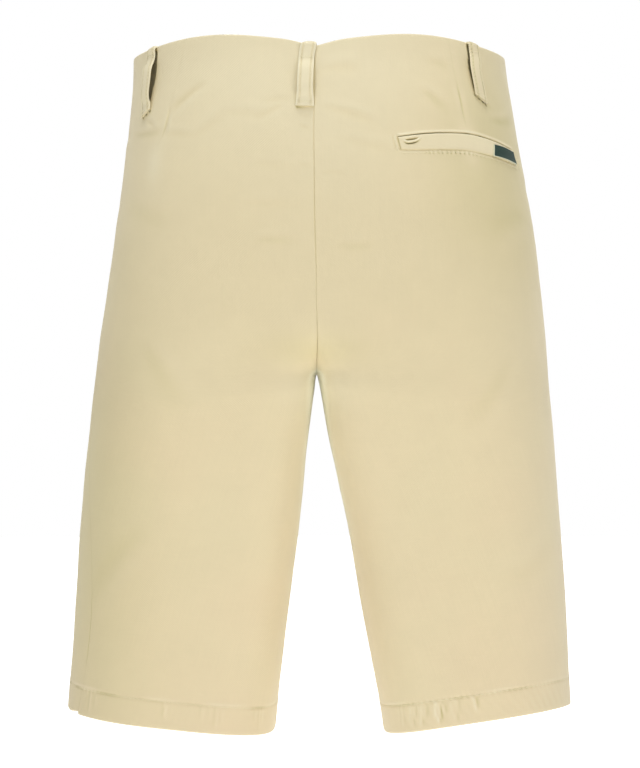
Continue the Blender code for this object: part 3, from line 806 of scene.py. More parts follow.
POCKET_LIP = 0.45 * MM
POCKET_GAP = 0.8 * MM       # between the lip and the welt's upper fold
POCKET_RECESS = 2.6 * MM
POCKET_FOOT = ((-0.25, 0.0, 0.7), (0.16, 1.5, 1.0))    # below the welt, as ridges
POCKET_FOLD = ((0.32, -1.5, 0.8), (-0.20, -3.3, 0.8),   # beside its inner end
               (0.14, -4.6, 0.8), (-0.28, -0.2, 0.6))
POCKET_STITCH = ((0.40, 2.0, 1.2),)
POCKET_STITCH_PITCH = 3.3 * MM
POCKET_STITCHED = (0.076, 0.120)    # where the stitches pull the cloth
POCKET_SHADED = (0.074, 0.126)      # and where their shades show
POCKET_SHADE = 0.60


def pocket_relief(points):
    """The mouth of the back pocket: a lip above the welt and the recess that it hides."""
    x = points[..., 0]
    held = np.clip(x, WELT_START, WELT_END)
    below_top = WELT_TOP(held) - points[..., 2]
    below_bottom = WELT_BOTTOM(held) - points[..., 2]
    share = np.clip(below_top / (WELT_TOP(held) - WELT_BOTTOM(held)), 0, 1)
    start = x - WELT_START - WELT_LEANS[0] * share
    end = WELT_END + WELT_LEANS[1] * share - x
    inside = smooth((start - 0.2 * MM) / (1.4 * MM)) * smooth((end - 0.4 * MM) / (1.6 * MM))
    along = smooth((start + 1 * MM) / (2 * MM)) * smooth((end + 1 * MM) / (2 * MM))
    lip = POCKET_LIP * bump(below_top + POCKET_GAP + 0.9 * MM, 1.0 * MM)
    recess = -POCKET_RECESS * smooth((below_top + POCKET_GAP + 0.2 * MM) / (0.6 * MM))
    recess = recess * smooth((6 * MM - below_top) / (2 * MM))
    stitches = np.sin(2 * math.pi * x / POCKET_STITCH_PITCH) * ridges(below_bottom, POCKET_STITCH)
    stitches = stitches * window(x, *POCKET_STITCHED, 8 * MM, 10 * MM)
    fold = ridges(start, POCKET_FOLD) * smooth((below_top + 3 * MM) / (3 * MM))
    fold = fold * smooth((2 * MM - below_bottom) / (4 * MM))
    return inside * recess + along * (lip + ridges(below_bottom, POCKET_FOOT) + stitches) + fold


def pocket_tone(points):
    """Small shades between the stitches under the welt."""
    x = points[..., 0]
    below = WELT_BOTTOM(np.clip(x, WELT_START, WELT_END)) - points[..., 2]
    shade = POCKET_SHADE * window(x, *POCKET_SHADED, 8 * MM, 10 * MM)
    return -shade * bump(below - 2.3 * MM, 0.8 * MM) * np.clip(np.sin(x * 2000), 0, 1)


# ---------------------------------------------------------------- painted light and shade on the cloth
# painted light and painted shade, where light falls more or less: x, height, half widths across and
# down, and how much (above 0 painted light, below 0 painted shade)
PAINTED_LIGHT_COLUMNS = ("x", "z", "wide", "tall", "amount")
PAINTED_LIGHT_ROWS = (
    (-0.010, -0.030, 0.115, 0.075, 0.30),
    (-0.178, -0.340, 0.055, 0.210, -0.24),
    (0.130, -0.070, 0.050, 0.080, -0.30),
    (0.160, -0.150, 0.040, 0.060, -0.08),
    (0.185, -0.400, 0.035, 0.170, 0.12),
    (0.000, -0.229, 0.036, 0.012, -0.17),
)
CROTCH_X = 0.0007
INSEAM_PAINTED_LIGHT = 1.35          # the legs' inner edges, painted paler against the shade that falls between the legs
INSEAM_REACH = 4.4 * MM
INSEAM_FRONT = 0.3          # its share at the front
INSEAM_TOP = 0.014          # it begins so far above the crotch
INSEAM_FALL = 0.85          # the share of itself that it loses on the way to the hem
CROTCH_REACH = 0.95         # how much wider it is at the crotch
# painted light on the apex of the crotch, where shade gathers
APEX_PAINTED_LIGHT = 0.9
APEX_SIZE = 4.4 * MM


def painted_light_and_shade(grid, points):
    """Painted light and painted shade over the cloth, and painted light along the legs' inner edges and
    at the crotch, against the shade between the legs.
    """
    x, y, z = (points[..., k] for k in range(3))
    level = grid["level"]
    total = np.zeros(points.shape[:-1])
    for row in table(PAINTED_LIGHT_COLUMNS, PAINTED_LIGHT_ROWS):
        total += row["amount"] * bump(x - row["x"], row["wide"]) * bump(z - row["z"], row["tall"])
    r = ring(grid["side"], level)
    inner = r["middle"] - r["half"] * closing(level)
    away = np.clip(SIGN[grid["side"]] * (x + lean(0, z) * y) - inner, 0, None)
    on_leg = smooth((CROTCH_Z + INSEAM_TOP - level) / 0.020)
    on_leg = on_leg * (1 - INSEAM_FALL * smooth((CROTCH_Z - level) / 0.26))
    reach = INSEAM_REACH * (1 + CROTCH_REACH * bump(level - CROTCH_Z + 0.008, 0.018))
    # painted light along the inner edges of the legs, where the legs shade each other
    lightness = INSEAM_PAINTED_LIGHT * np.exp(-away / reach) * on_leg
    if grid["face"] == "front":
        return total + INSEAM_FRONT * lightness
    apex = bump(x - CROTCH_X, APEX_SIZE) * bump(z - CROTCH_Z + 1.5 * MM, APEX_SIZE)
    return total + lightness + APEX_PAINTED_LIGHT * apex


LOOP_COLUMNS = ("name", "side", "degrees", "rise", "tack", "foot", "stand", "shifts",
                "width", "foot_width", "skew", "droop", "pale", "gloom", "shade")
# degrees from the centre back; then in millimetres: rise over the waist edge, depths of
# the upper tack and the foot, stand-off, sideways shifts towards +X on the way down,
# widths, skew of the foot and droop of the upper fold's outer side; how pale its face
# is with painted light, how deep the painted shade behind it, and how far that reaches
# towards the centre back
LOOP_ROWS = (
    ("centre_back", "left", 1.7, 1.2, 11.4, 50.0, 3.4, (3.0, 1.2, 1.0, 1.0, 1.5, 2.1),
     11.4, 13.2, 0.0, 0.4, 0.46, 0.45, (8.6, 8.8, 9.0, 9.0, 8.8, 7.6)),
    ("left_back", "left", 57.0, 1.2, 6.0, 50.8, 4.4, (1.6, -0.6, 2.4, 1.8, -0.9, 0.8),
     11.4, 11.8, -5.4, 2.0, 0.26, 1.6, (6.8, 6.5, 6.2, 3.3, 2.3, 2.0)),
    ("right_back", "right", 50.5, 1.0, 6.0, 42.6, 2.0, (0.2, 2.4, -2.4, -2.2, -0.6, 0.4),
     11.2, 11.6, 6.6, 1.6, 0.06, 1.9, (5.1, 4.6, 6.3, 5.0, 4.8, 4.4)),
    ("left_front", "left", 134.0, 1.2, 8.0, 48.0, 4.0, (0.5, 0.0, -0.6, -0.4, 0.2, 0.3),
     11.2, 11.8, 1.0, 0.6, 0.22, 1.0, (5.0, 5.0, 5.0, 5.0, 5.0, 5.0)),
    ("right_front", "right", 134.0, 1.2, 8.5, 48.2, 3.6, (-0.4, 0.2, 0.6, 0.5, 0.1, 0.0),
     11.2, 11.8, -1.0, 0.6, 0.22, 1.0, (5.0, 5.0, 5.0, 5.0, 5.0, 5.0)),
)
LOOP_SHIFT_STOPS = (0.0, 0.18, 0.45, 0.66, 0.85, 1.0)
LOOP_LINE = (0.004, -0.070, 60)     # levels between which a loop's middle is followed
LOOP_FOOT_SHADE = 0.3       # where the shade under a loop's foot lies, in millimetres
LOOP_FOOT_GLOOM = 1.3
LOOP_FOOT_SIZE = 0.9
LOOPS = table(LOOP_COLUMNS, LOOP_ROWS)


def loop_shift(row, down):
    """Sideways shift in metres, by the share of the way down to the foot."""
    return np.interp(down, LOOP_SHIFT_STOPS, row["shifts"]) * MM


def loop_tone(side, points):
    """The shade of each belt loop on the cloth behind it."""
    total = np.zeros(points.shape[:-1])
    levels = np.linspace(*LOOP_LINE)
    for row in LOOPS:
        if row["side"] != side:
            continue
        line = surface(side, np.full(len(levels), math.radians(90 - row["degrees"])), levels)
        middle = [np.interp(points[..., 2], line[::-1, 2], line[::-1, k]) for k in (0, 1)]
        away = np.hypot(points[..., 0] - middle[0], points[..., 1] - middle[1])
        across = away * np.sign(points[..., 0] - middle[0])
        near = smooth((0.05 - away) / 0.01)
        down = -np.interp(points[..., 2], line[::-1, 2], levels[::-1]) / (row["foot"] * MM)
        reach = np.interp(np.clip(down, 0, 1), LOOP_SHIFT_STOPS, row["shade"]) * MM
        edge = window(-SIGN[side] * across, -3 * MM, reach + 0.5 * MM, 3 * MM, 1 * MM)
        total -= row["gloom"] * edge * window(down, 0.01, 0.96, 0.06, 0.20) * near
        across = across - loop_shift(row, np.clip(down, 0, 1))
        tip = down * row["foot"] - row["foot"] - row["skew"] / row["width"] * across / MM
        under = smooth((row["foot_width"] / 2 * MM + 0.4 * MM - np.abs(across)) / MM)
        total -= LOOP_FOOT_GLOOM * bump(tip - LOOP_FOOT_SHADE, LOOP_FOOT_SIZE) * under * near
    return total


# how uneven the cloth is: height in millimetres, wavelength in metres, seed and waves
SWELL = (0.42, 0.110, 3, 7)
RIPPLE = (0.10, 0.034, 5, 7)
CRUMPLE = (0.035, 0.012, 8, 9)
SWELL_AT_EDGE = 0.25        # the share of it that is left at the waist edge
CREASE_SHADE = {"back": 0.35, "front": 0.10}     # how much creases show in the tone: painted shade in them, painted light beside
TONE_HEIGHT = 0.9 * MM      # the relief that gives the whole tone: painted shade in a groove, paleness on a ridge


def rough(kind, points):
    height, wavelength, seed, count = kind
    return height * MM * waves(points, wavelength, seed, count)


def panel_relief(grid, points, normals):
    """The height of the cloth over the smooth rings, and its tone: painted shade in grooves, recesses
    and creases, paler ridges, and the painted light and shade over the cloth.
    """
    side, face = grid["side"], grid["face"]
    creases = crease_relief(side, points.reshape(-1, 3), normals.reshape(-1, 3))
    creases = creases.reshape(points.shape[:2])
    fine = seam_relief(grid) + hem_relief(grid, points)
    layers = layers_relief(grid)
    if face == "back":
        fine += dart_relief(grid)
    else:
        lap, groove = front_relief(grid, points)
        layers = layers + lap
        fine += groove
    with_pocket = (side, face) == ("right", "back")
    if with_pocket:
        fine += pocket_relief(points)
    off_edge = smooth(-grid["level"] / (12 * MM))
    soft = rough(SWELL, points * (1, 1, 0.7)) + rough(RIPPLE, points)
    soft = soft * (SWELL_AT_EDGE + (1 - SWELL_AT_EDGE) * off_edge)
    # the tone from the relief: painted shade in the grooves of seams, darts, hem and puckers, in the
    # pocket's recess and in creases; paler on ridges, as wear on the fine relief and as painted light
    # beside the creases
    tone = np.clip((fine + CREASE_SHADE[face] * creases) / TONE_HEIGHT, -1, 1)
    if with_pocket:
        tone = tone + pocket_tone(points)
    height = creases + fine + layers + soft + rough(CRUMPLE, points)
    # then the painted light and shade over the whole cloth, and the painted shade behind the belt loops
    return height, tone + painted_light_and_shade(grid, points) + loop_tone(side, points)


# ---------------------------------------------------------------- meshes
def add_piece(name, points, faces, finish, uv=None, tone=None):
    mesh = bpy.data.meshes.new(name)
    mesh.from_pydata(np.asarray(points).tolist(), [], faces)
    mesh.validate()
    mesh.shade_smooth()
    mesh.materials.append(finish)
    if uv is not None:
        layer = mesh.uv_layers.new(name="cloth")
        index = np.zeros(len(mesh.loops), np.int32)
        mesh.loops.foreach_get("vertex_index", index)
        layer.data.foreach_set("uv", np.asarray(uv, np.float32)[index].ravel())
    tones = np.zeros(len(points), np.float32) if tone is None else np.asarray(tone, np.float32)
    mesh.attributes.new("tone", "FLOAT", "POINT").data.foreach_set("value", tones)
    piece = bpy.data.objects.new(name, mesh)
    bpy.context.scene.collection.objects.link(piece)
    return piece


def grid_faces(rows, columns, first=0):
    """Quads between the rows of a grid, rows down and columns across."""
    corner = first + np.arange((rows - 1) * columns).reshape(rows - 1, columns)[:, :-1]
    quads = np.stack([corner, corner + 1, corner + columns + 1, corner + columns], -1)
    return quads.reshape(-1, 4).tolist()


def tube_faces(rings, sides):
    """Quads round a tube of rings, and its two end caps."""
    faces = []
    for i in range(rings - 1):
        for k in range(sides):
            n = (k + 1) % sides
            faces.append([i * sides + k, i * sides + n, (i + 1) * sides + n, (i + 1) * sides + k])
    faces.append(list(range(sides))[::-1])
    faces.append(list(range((rings - 1) * sides, rings * sides)))
    return faces


def root_piece(piece, node=None):
    """Puts a piece on the one body, in the place of its node if it has one."""
    if node:
        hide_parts(node)
    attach(piece, "root")
    return piece


FOLD_STEPS = 5
WALL_STEP = 1.2 * MM        # the length over which the wall thickens
EDGE_TONE = 0.45            # of the folded edges
INSIDE_TONE = 0.4           # the share of the outside's tone that shows inside


def fold_rows(from_row, to_row, down, steps=FOLD_STEPS):
    """Rows of a rounded fold between two rows, bulging by half their distance."""
    centre = (from_row + to_row) / 2
    radius = (from_row - to_row) / 2
    reach = np.linalg.norm(radius, axis=1, keepdims=True)
    turns = np.linspace(0, math.pi, steps + 2)[1:-1]
    return [centre + radius * math.cos(turn) + down * reach * math.sin(turn) for turn in turns]


def cloth_shell(grid):
    """A panel's closed shell: outside, rounded hem, inside and rounded waist edge."""
    side = grid["side"]
    base = surface(side, grid["angle"], grid["level"])
    out = normal(side, grid["angle"], grid["level"])
    height, tone = panel_relief(grid, base, out)
    outside = base + out * height[..., None]
    rows, columns = height.shape
    above_hem = grid["v"] - HEMS[side]["outer_z"]
    at_waist = smooth((grid["level"] + WAIST_TURN + WALL_STEP / 2) / WALL_STEP)
    at_hem = smooth((HEM_DEPTH + WALL_STEP / 2 - above_hem) / WALL_STEP)
    wall = CLOTH + (WAIST_WALL - CLOTH) * at_waist + (HEM_WALL - CLOTH) * at_hem
    inside = outside - out * wall[..., None]
    taken = slice(0, rows, 2)
    back = inside[taken][::-1]
    hem = fold_rows(outside[-1], inside[-1], unit(outside[-1] - outside[-3]))
    waist = fold_rows(inside[0], outside[0], unit(outside[0] - outside[2]))
    points = np.concatenate([outside, np.array(hem), back, np.array(waist)])

    def all_round(values, hem_value, back_values, waist_value):
        """The outside's values, then the hem's, the inside's and the waist edge's."""
        folds = [np.repeat(np.broadcast_to(value, (1, columns)), FOLD_STEPS, 0)
                 for value in (hem_value, waist_value)]
        return np.concatenate([values, folds[0], back_values[taken][::-1], folds[1]])

    u_rows, level_rows = (all_round(grid[key], grid[key][-1:], grid[key], grid[key][:1])
                          for key in ("u", "level"))
    tones = all_round(tone, EDGE_TONE, INSIDE_TONE * tone, EDGE_TONE)
    total = len(points)
    faces = grid_faces(total, columns)
    last = (total - 1) * columns
    faces += [[last + j, last + j + 1, j + 1, j] for j in range(columns - 1)]
    # the two long rims, between each pair of outer rows and the inner row behind them
    last_inner = rows + FOLD_STEPS + len(back) - 1
    for j, turned in ((0, False), (columns - 1, True)):
        rims = [[2 * k, 2 * k + 1, 2 * k + 2, last_inner - k - 1, last_inner - k]
                for k in range(len(back) - 1)]
        rims.append([rows - 1 + k for k in range(FOLD_STEPS + 2)])
        rims.append([total - FOLD_STEPS - 1 + k for k in range(FOLD_STEPS + 1)] + [0])
        for rim in rims:
            rim = [row * columns + j for row in rim]
            faces.append(rim[::-1] if turned else rim)
    if (side == "left") == (grid["face"] == "back"):
        faces = [face[::-1] for face in faces]
    uv = np.stack([u_rows, level_rows], -1).reshape(-1, 2)
    return {"points": points.reshape(-1, 3), "faces": faces, "uv": uv, "tone": tones.ravel(),
            "outside": outside, "normals": out, "inside": inside}


# ---------------------------------------------------------------- materials
# SAND is the cloth's own colour. The tone paints over it: the darker colours below it are painted
# shade, the paler ones painted light and also wear.
SAND = (0.751, 0.652, 0.416)
SAND_DEEP_SHADE = (0.400, 0.335, 0.165)
SAND_GLOOM = (0.160, 0.135, 0.055)
SAND_SHADE = (0.620, 0.545, 0.290)
SAND_PALE = (0.822, 0.750, 0.526)
SAND_LIGHT = (0.960, 0.930, 0.740)
TINT_LOW = (1.012, 0.972, 0.985)    # the cloth's change of hue from low to high, partly painted light
TINT_HIGH = (1.0, 1.012, 1.03)
THREAD = (0.800, 0.735, 0.500)
TAB_GREEN = (0.012, 0.043, 0.030)
TAB_WORN = (0.060, 0.120, 0.100)
TAB_RIM = (0.700, 0.680, 0.480)
HORN = (0.300, 0.220, 0.120)
HORN_DARK = (0.120, 0.075, 0.035)
HORN_LIGHT = (0.480, 0.370, 0.220)


class Nodes:
    """A material's nodes, added by type with their settings and inputs."""

    def __init__(self, name):
        self.material = bpy.data.materials.new(name)
        self.material.use_nodes = True
        self.tree = self.material.node_tree
        self.shader = self.tree.nodes["Principled BSDF"]

    def add(self, kind, settings=None, **inputs):
        node = self.tree.nodes.new(kind)
        for key, value in (settings or {}).items():
            setattr(node, key, value)
        for key, value in inputs.items():
            self.put(node.inputs[key.replace("_", " ")], value)
        return node

    def put(self, socket, value):
        if isinstance(value, bpy.types.NodeSocket):
            self.tree.links.new(value, socket)
        else:
            socket.default_value = value

    def math(self, operation, *values):
        node = self.add("ShaderNodeMath", {"operation": operation})
        for socket, value in zip(node.inputs, values):
            self.put(socket, value)
        return node.outputs[0]

    def look(self, **inputs):
        """Inputs of the shader, each a socket or a constant that is set on it directly."""
        for key, value in inputs.items():
            self.put(self.shader.inputs[key.replace("_", " ")], value)

    def place(self):
        return self.add("ShaderNodeTexCoord").outputs["Object"]

    def tone(self):
        return self.add("ShaderNodeAttribute", {"attribute_name": "tone"}).outputs["Fac"]

    def sheet(self):
        """The place on the flat cloth, in millimetres."""
        flat = self.add("ShaderNodeUVMap", {"uv_map": "cloth"}).outputs["UV"]
        return self.mapped(flat, (1000, 1000, 1000))

    def noise(self, vector, scale, detail=3.0):
        return self.add("ShaderNodeTexNoise", Vector=vector, Scale=scale, Detail=detail,
                        Roughness=0.55).outputs["Fac"]

    def mapped(self, vector, scale=(1, 1, 1), turn=0.0):
        return self.add("ShaderNodeMapping", Vector=vector, Scale=scale,
                        Rotation=(0, 0, turn)).outputs["Vector"]

    def ramp(self, factor, stops):
        node = self.add("ShaderNodeValToRGB", Fac=factor)
        elements = node.color_ramp.elements
        while len(elements) < len(stops):
            elements.new(0.5)
        for element, (place, colour) in zip(elements, stops):
            element.position = place
            element.color = (*colour, 1.0)
        return node.outputs["Color"]

    def scaled(self, colour, factor):
        node = self.add("ShaderNodeVectorMath", {"operation": "SCALE"})
        self.put(node.inputs[0], colour)
        self.put(node.inputs["Scale"], factor)
        return node.outputs[0]

    def bumps(self, *layers):
        """Stacked bump nodes, each (height, distance in metres, strength)."""
        last = None
        for height, distance, strength in layers:
            node = self.add("ShaderNodeBump", Height=height, Distance=distance, Strength=strength)
            if last is not None:
                self.put(node.inputs["Normal"], last)
            last = node.outputs["Normal"]
        self.look(Normal=last)


TWILL_PITCH = 1.05      # millimetres from one diagonal rib to the next
TWILL_TURN = math.radians(58)


def twill_material(name):
    """Sand cotton twill: fine diagonal ribs, slubs and soft mottling; the tone paints light and shade
    over it, and paler ridges of wear.
    """
    n = Nodes(name)
    place, sheet = n.place(), n.sheet()
    rib_scale = 2 * math.pi / (20 * TWILL_PITCH)
    ribs = n.add("ShaderNodeTexWave", {"bands_direction": "X"},
                 Vector=n.mapped(sheet, turn=TWILL_TURN), Scale=rib_scale, Distortion=0.7,
                 Detail=1.0, Detail_Scale=1.5).outputs["Fac"]
    weft_slubs = n.noise(n.mapped(sheet, (0.045, 0.9, 1)), 1.0, 2.0)
    warp_slubs = n.noise(n.mapped(sheet, (0.8, 0.028, 1)), 1.0, 2.0)
    mottle = n.noise(place, 42.0, 4.0)
    cloud = n.noise(place, 9.0, 2.0)
    fuzz = n.noise(place, 1400.0, 2.0)
    # the tone's painted light and shade, with the wear on ridges, as a place along the colours below
    lightness = n.math("MULTIPLY_ADD", n.tone(), 0.5, 0.5)
    sand_light_shade_and_wear = n.ramp(lightness, ((0.0, SAND_GLOOM), (0.12, SAND_DEEP_SHADE), (0.30, SAND_SHADE),
                         (0.50, SAND), (0.80, SAND_PALE), (1.0, SAND_LIGHT)))
    value = n.math("MULTIPLY_ADD", mottle, 0.050, 0.975)
    for source, amount in ((ribs, 0.030), (weft_slubs, 0.030), (warp_slubs, 0.045), (fuzz, 0.025)):
        value = n.math("ADD", value, n.math("MULTIPLY_ADD", source, amount, -amount / 2))
    # the hue follows height as painted light, pinker and a little darker low down, paler and bluer high
    # up, mixed with random clouds of hue
    height = n.add("ShaderNodeSeparateXYZ", Vector=place).outputs["Z"]
    height_tint = n.math("MULTIPLY_ADD", height, 2.0, 1.0)
    mix = n.math("MULTIPLY_ADD", cloud, 0.9, n.math("MULTIPLY_ADD", height_tint, 0.55, -0.225))
    tint = n.ramp(mix, ((0.0, TINT_LOW), (0.5, (1.0, 1.0, 1.0)), (1.0, TINT_HIGH)))
    product = n.add("ShaderNodeVectorMath", {"operation": "MULTIPLY"})
    n.put(product.inputs[0], sand_light_shade_and_wear)
    n.put(product.inputs[1], tint)
    n.look(Base_Color=n.scaled(product.outputs[0], value),
           Roughness=n.math("MULTIPLY_ADD", mottle, 0.10, 0.80),
           Specular_IOR_Level=0.22, Sheen_Weight=0.18, Sheen_Roughness=0.55)
    n.bumps((n.noise(place, 55.0, 3.0), 0.00035, 0.35), (warp_slubs, 0.00012, 0.35),
            (ribs, 0.00009, 0.55), (fuzz, 0.00005, 0.4))
    return n.material


# ---------------------------------------------------------------- stage, camera, lights
CAMERA_DISTANCE = 1.70
CAMERA_TURN = math.radians(1.4)
CAMERA_HEIGHT = -0.253
CAMERA_LENS = 102.16
AIM = Vector((0.0, 0.0, -0.26))
FLOOR_Z = -1.00         # the floor of a person who wears them
AMBIENT = 0.306
FLOOR_GLOW = 0.61
FLOOR_SEEN = 0.5            # what it glows more towards the camera
FLOOR_RADIUS = 9.0
LIGHT_COLUMNS = ("name", "place", "size", "watts", "colour")
LIGHT_ROWS = (
    ("right", (1.60, -2.40, 0.20), 1.5, 11.4, (1.05, 0.98, 0.96)),
    ("left", (-1.60, -2.40, 0.20), 1.5, 8.3, (1.0, 0.985, 0.97)),
    ("low", (1.20, -1.90, -0.92), 1.2, 2.2, (1.0, 0.98, 1.0)),
    ("top", (0.00, -0.20, 2.00), 1.4, 37.5, (0.99, 1.0, 1.0)),
    ("behind", (0.60, 2.20, 0.70), 1.6, 16.0, (1.0, 1.0, 1.0)),
)


def add_camera():
    camera = bpy.data.objects.new("camera", bpy.data.cameras.new("camera"))
    bpy.context.scene.collection.objects.link(camera)
    camera.location = (CAMERA_DISTANCE * math.sin(CAMERA_TURN),
                       -CAMERA_DISTANCE * math.cos(CAMERA_TURN), CAMERA_HEIGHT)
    camera.rotation_euler = (math.radians(90), 0, CAMERA_TURN)
    camera.data.lens = CAMERA_LENS
    camera.data.clip_end = 60.0
    bpy.context.scene.camera = camera


def add_lights():
    for row in table(LIGHT_COLUMNS, LIGHT_ROWS):
        light = bpy.data.lights.new(row["name"], "AREA")
        light.shape = "DISK"
        light.size = row["size"]
        light.energy = row["watts"]
        light.color = row["colour"]
        lamp = bpy.data.objects.new(row["name"], light)
        bpy.context.scene.collection.objects.link(lamp)
        lamp.location = row["place"]
        lamp.rotation_euler = (AIM - lamp.location).to_track_quat("-Z", "Y").to_euler()


def add_stage():
    """A pale floor, and an even white studio all round."""
    world = bpy.data.worlds.new("studio")
    bpy.context.scene.world = world
    world.use_nodes = True
    tree = world.node_tree
    background = tree.nodes["Background"]
    background.inputs["Color"].default_value = (1.0, 1.0, 1.0, 1.0)
    seen = tree.nodes.new("ShaderNodeLightPath").outputs["Is Camera Ray"]
    strength = tree.nodes.new("ShaderNodeMath")
    strength.operation = "MULTIPLY_ADD"
    tree.links.new(seen, strength.inputs[0])
    strength.inputs[1].default_value = 1.0 - AMBIENT
    strength.inputs[2].default_value = AMBIENT
    tree.links.new(strength.outputs[0], background.inputs["Strength"])
    n = Nodes("pale_floor")
    shown = n.add("ShaderNodeLightPath").outputs["Is Camera Ray"]
    n.look(Base_Color=(0.90, 0.90, 0.90, 1.0), Roughness=0.9, Specular_IOR_Level=0.1,
           Emission_Color=(1.0, 1.0, 1.0, 1.0),
           Emission_Strength=n.math("MULTIPLY_ADD", shown, FLOOR_SEEN, FLOOR_GLOW))
    bpy.ops.mesh.primitive_circle_add(vertices=96, radius=FLOOR_RADIUS, fill_type="NGON",
                                      location=(0, 0, FLOOR_Z))
    floor = bpy.context.object
    floor.name = "floor"
    floor.data.materials.append(n.material)


bpy.context.scene.view_settings.view_transform = "Standard"
add_camera()
add_lights()
add_stage()


# ---------------------------------------------------------------- strips, loops, stitches
def wall_mesh(outer, inner):
    """Points and faces of a closed wall between two grids of the same size."""
    rows, columns = outer.shape[:2]
    behind = rows * columns
    faces = grid_faces(rows, columns)
    faces += [face[::-1] for face in grid_faces(rows, columns, behind)]
    ring_of = list(range(columns))
    ring_of += [i * columns + columns - 1 for i in range(1, rows)]
    ring_of += [(rows - 1) * columns + j for j in range(columns - 2, -1, -1)]
    ring_of += [i * columns for i in range(rows - 2, 0, -1)]
    for near, far in zip(ring_of, ring_of[1:] + ring_of[:1]):
        faces.append([far, near, near + behind, far + behind])
    points = np.concatenate([outer.reshape(-1, 3), inner.reshape(-1, 3)])
    return points, faces


def wall_piece(name, outer, inner, finish, flat, tones):
    """A piece from two grids, with its place on the flat cloth and its two sides' tones."""
    uv = np.stack(flat, -1).reshape(-1, 2)
    return add_piece(name, *wall_mesh(outer, inner), finish, np.concatenate([uv, uv]),
                     np.concatenate([tone.ravel() for tone in tones]))


THREAD_SIDES = 6
THREAD_PLACES = (0.0, 0.10, 0.5, 0.90, 1.0)     # along a stitch, as shares of its length
THREAD_SIZES = (0.35, 0.85, 1.0, 0.85, 0.35)    # there, as shares of the thread's radius
THREAD_HEIGHTS = (-0.9, -0.1, 0.25, -0.1, -0.9)
THREAD_FLAT = 0.8
STITCH_JITTER = 0.07 * MM


def stitch_mesh(starts, ends, outs, radius):
    """Capsules of thread from each start to its end, a little flattened and sunk."""
    along = ends - starts
    length = np.linalg.norm(along, axis=1, keepdims=True)
    along = along / length
    across = unit(np.cross(along, outs))
    upward = np.cross(across, along)
    turn = np.linspace(0, 2 * math.pi, THREAD_SIDES, endpoint=False)
    points = []
    for place, size, height in zip(THREAD_PLACES, THREAD_SIZES, THREAD_HEIGHTS):
        centre = starts + along * length * place + upward * (height * radius)
        for angle in turn:
            reach = across * math.cos(angle) + upward * (THREAD_FLAT * math.sin(angle))
            points.append(centre + reach * (size * radius))
    points = np.stack(points, 1)
    count = points.shape[1]
    template = tube_faces(len(THREAD_PLACES), THREAD_SIDES)
    faces = [[s * count + v for v in face] for s in range(len(starts)) for face in template]
    return points.reshape(-1, 3), faces


def stitch_line(points, outs, length, gap, jitter=None):
    """Starts, ends and directions of stitches along a line of points."""
    run = run_along(points)
    count = max(1, int(run[-1] / (length + gap)))
    pitch = run[-1] / count
    begin = (np.arange(count) + 0.5) * pitch - (pitch - gap) / 2
    finish = begin + pitch - gap

    def at(places, values):
        return np.stack([np.interp(places, run, values[:, k]) for k in range(3)], -1)

    first, last, out = at(begin, points), at(finish, points), at((begin + finish) / 2, outs)
    if jitter is not None:
        sideways = unit(np.cross(last - first, out))
        first = first + sideways * jitter.normal(size=(count, 1)) * STITCH_JITTER
        last = last + sideways * jitter.normal(size=(count, 1)) * STITCH_JITTER
    return first, last, out


def add_stitches(name, lines, radius):
    """A piece of thread from lines of stitches: their starts, ends and directions."""
    starts, ends, outs = (np.concatenate([line[k] for line in lines]) for k in range(3))
    return root_piece(add_piece(name, *stitch_mesh(starts, ends, outs, radius), SEWING))


LOOP_WALL = 1.7 * MM
LOOP_STITCH_INSET = 2.0 * MM
LOOP_RING = 15              # points across each face of a loop
LOOP_STEP = 0.8 * MM
LOOP_SEWN = -0.12 * MM      # how far the middle of its stitches stands over its face
LOOP_BAR_SEWN = 0.12 * MM
LOOP_BAR_WIDTH = 0.55 * MM  # half the width of a bar tack's zigzag
LOOP_BAR_INSET = 1.3 * MM   # from the loop's long edges
LOOP_BAR_RISE = 3.2         # the lower bar tack over the foot, in millimetres
LOOP_BARS = (7, 6)          # zigzags of the tacks at its foot and at its top
LOOP_STITCH = (2.3 * MM, 0.5 * MM)      # length and gap of the stitches down it
LOOP_THREAD = 0.20 * MM     # the radius of its thread
LOOP_RIM_TONE = 0.45        # its long rims, paler with wear, and the grooves that its stitches lie in, darkened as painted shade
LOOP_GROOVE_SHADE = 0.70
LOOP_GROOVE = 0.34 * MM     # depth of the grooves, and rise of the middle
LOOP_BELLY = 0.16 * MM
# as shares of the way down: where it widens, skews and is doubled, each over what length
LOOP_WIDENS = (0.72, 0.28)
LOOP_SKEWS = (0.70, 0.30)
LOOP_DOUBLES = (0.84, 0.03)
LOOP_DOUBLED = 0.55         # how much thicker it is there behind
LOOP_SWAY = (0.12 * MM, 23)     # how uneven its line is: swing, and pace down it


def loop_profile(row):
    """Depth below the waist edge and height over the panel, along the loop's middle."""
    lie = LOOP_WALL / 2 / MM + 0.25
    behind = -(WAIST_WALL + LOOP_WALL / 2) / MM - 0.3
    middle = (row["tack"] + row["foot"]) / 2
    reach = (row["foot"] - row["tack"]) / 2
    stand = row["stand"] + lie
    stops = [(5.0, behind), (2.0, behind), (-0.55 * row["rise"], behind * 0.80),
             (-row["rise"], behind * 0.30), (-0.95 * row["rise"], 0.6), (-0.3 * row["rise"], lie + 0.7),
             (2.6, lie + 0.75), (row["tack"], lie + 0.1), (row["tack"] + 2.2, lie + 0.25),
             (middle - 0.55 * reach, 0.80 * stand), (middle - 0.1 * reach, stand),
             (middle + 0.45 * reach, 0.72 * stand), (row["foot"] - 6.5, lie + 0.55),
             (row["foot"] - 3.0, lie + 0.12), (row["foot"], lie)]
    stops = np.array(stops)
    run = run_along(stops)
    named = table(("run", "depth", "out"), np.column_stack([run, stops]))
    steps = np.linspace(0, run[-1], int(run[-1] * MM / LOOP_STEP) + 1)
    return spline(named, "run", "depth")(steps), spline(named, "run", "out")(steps)


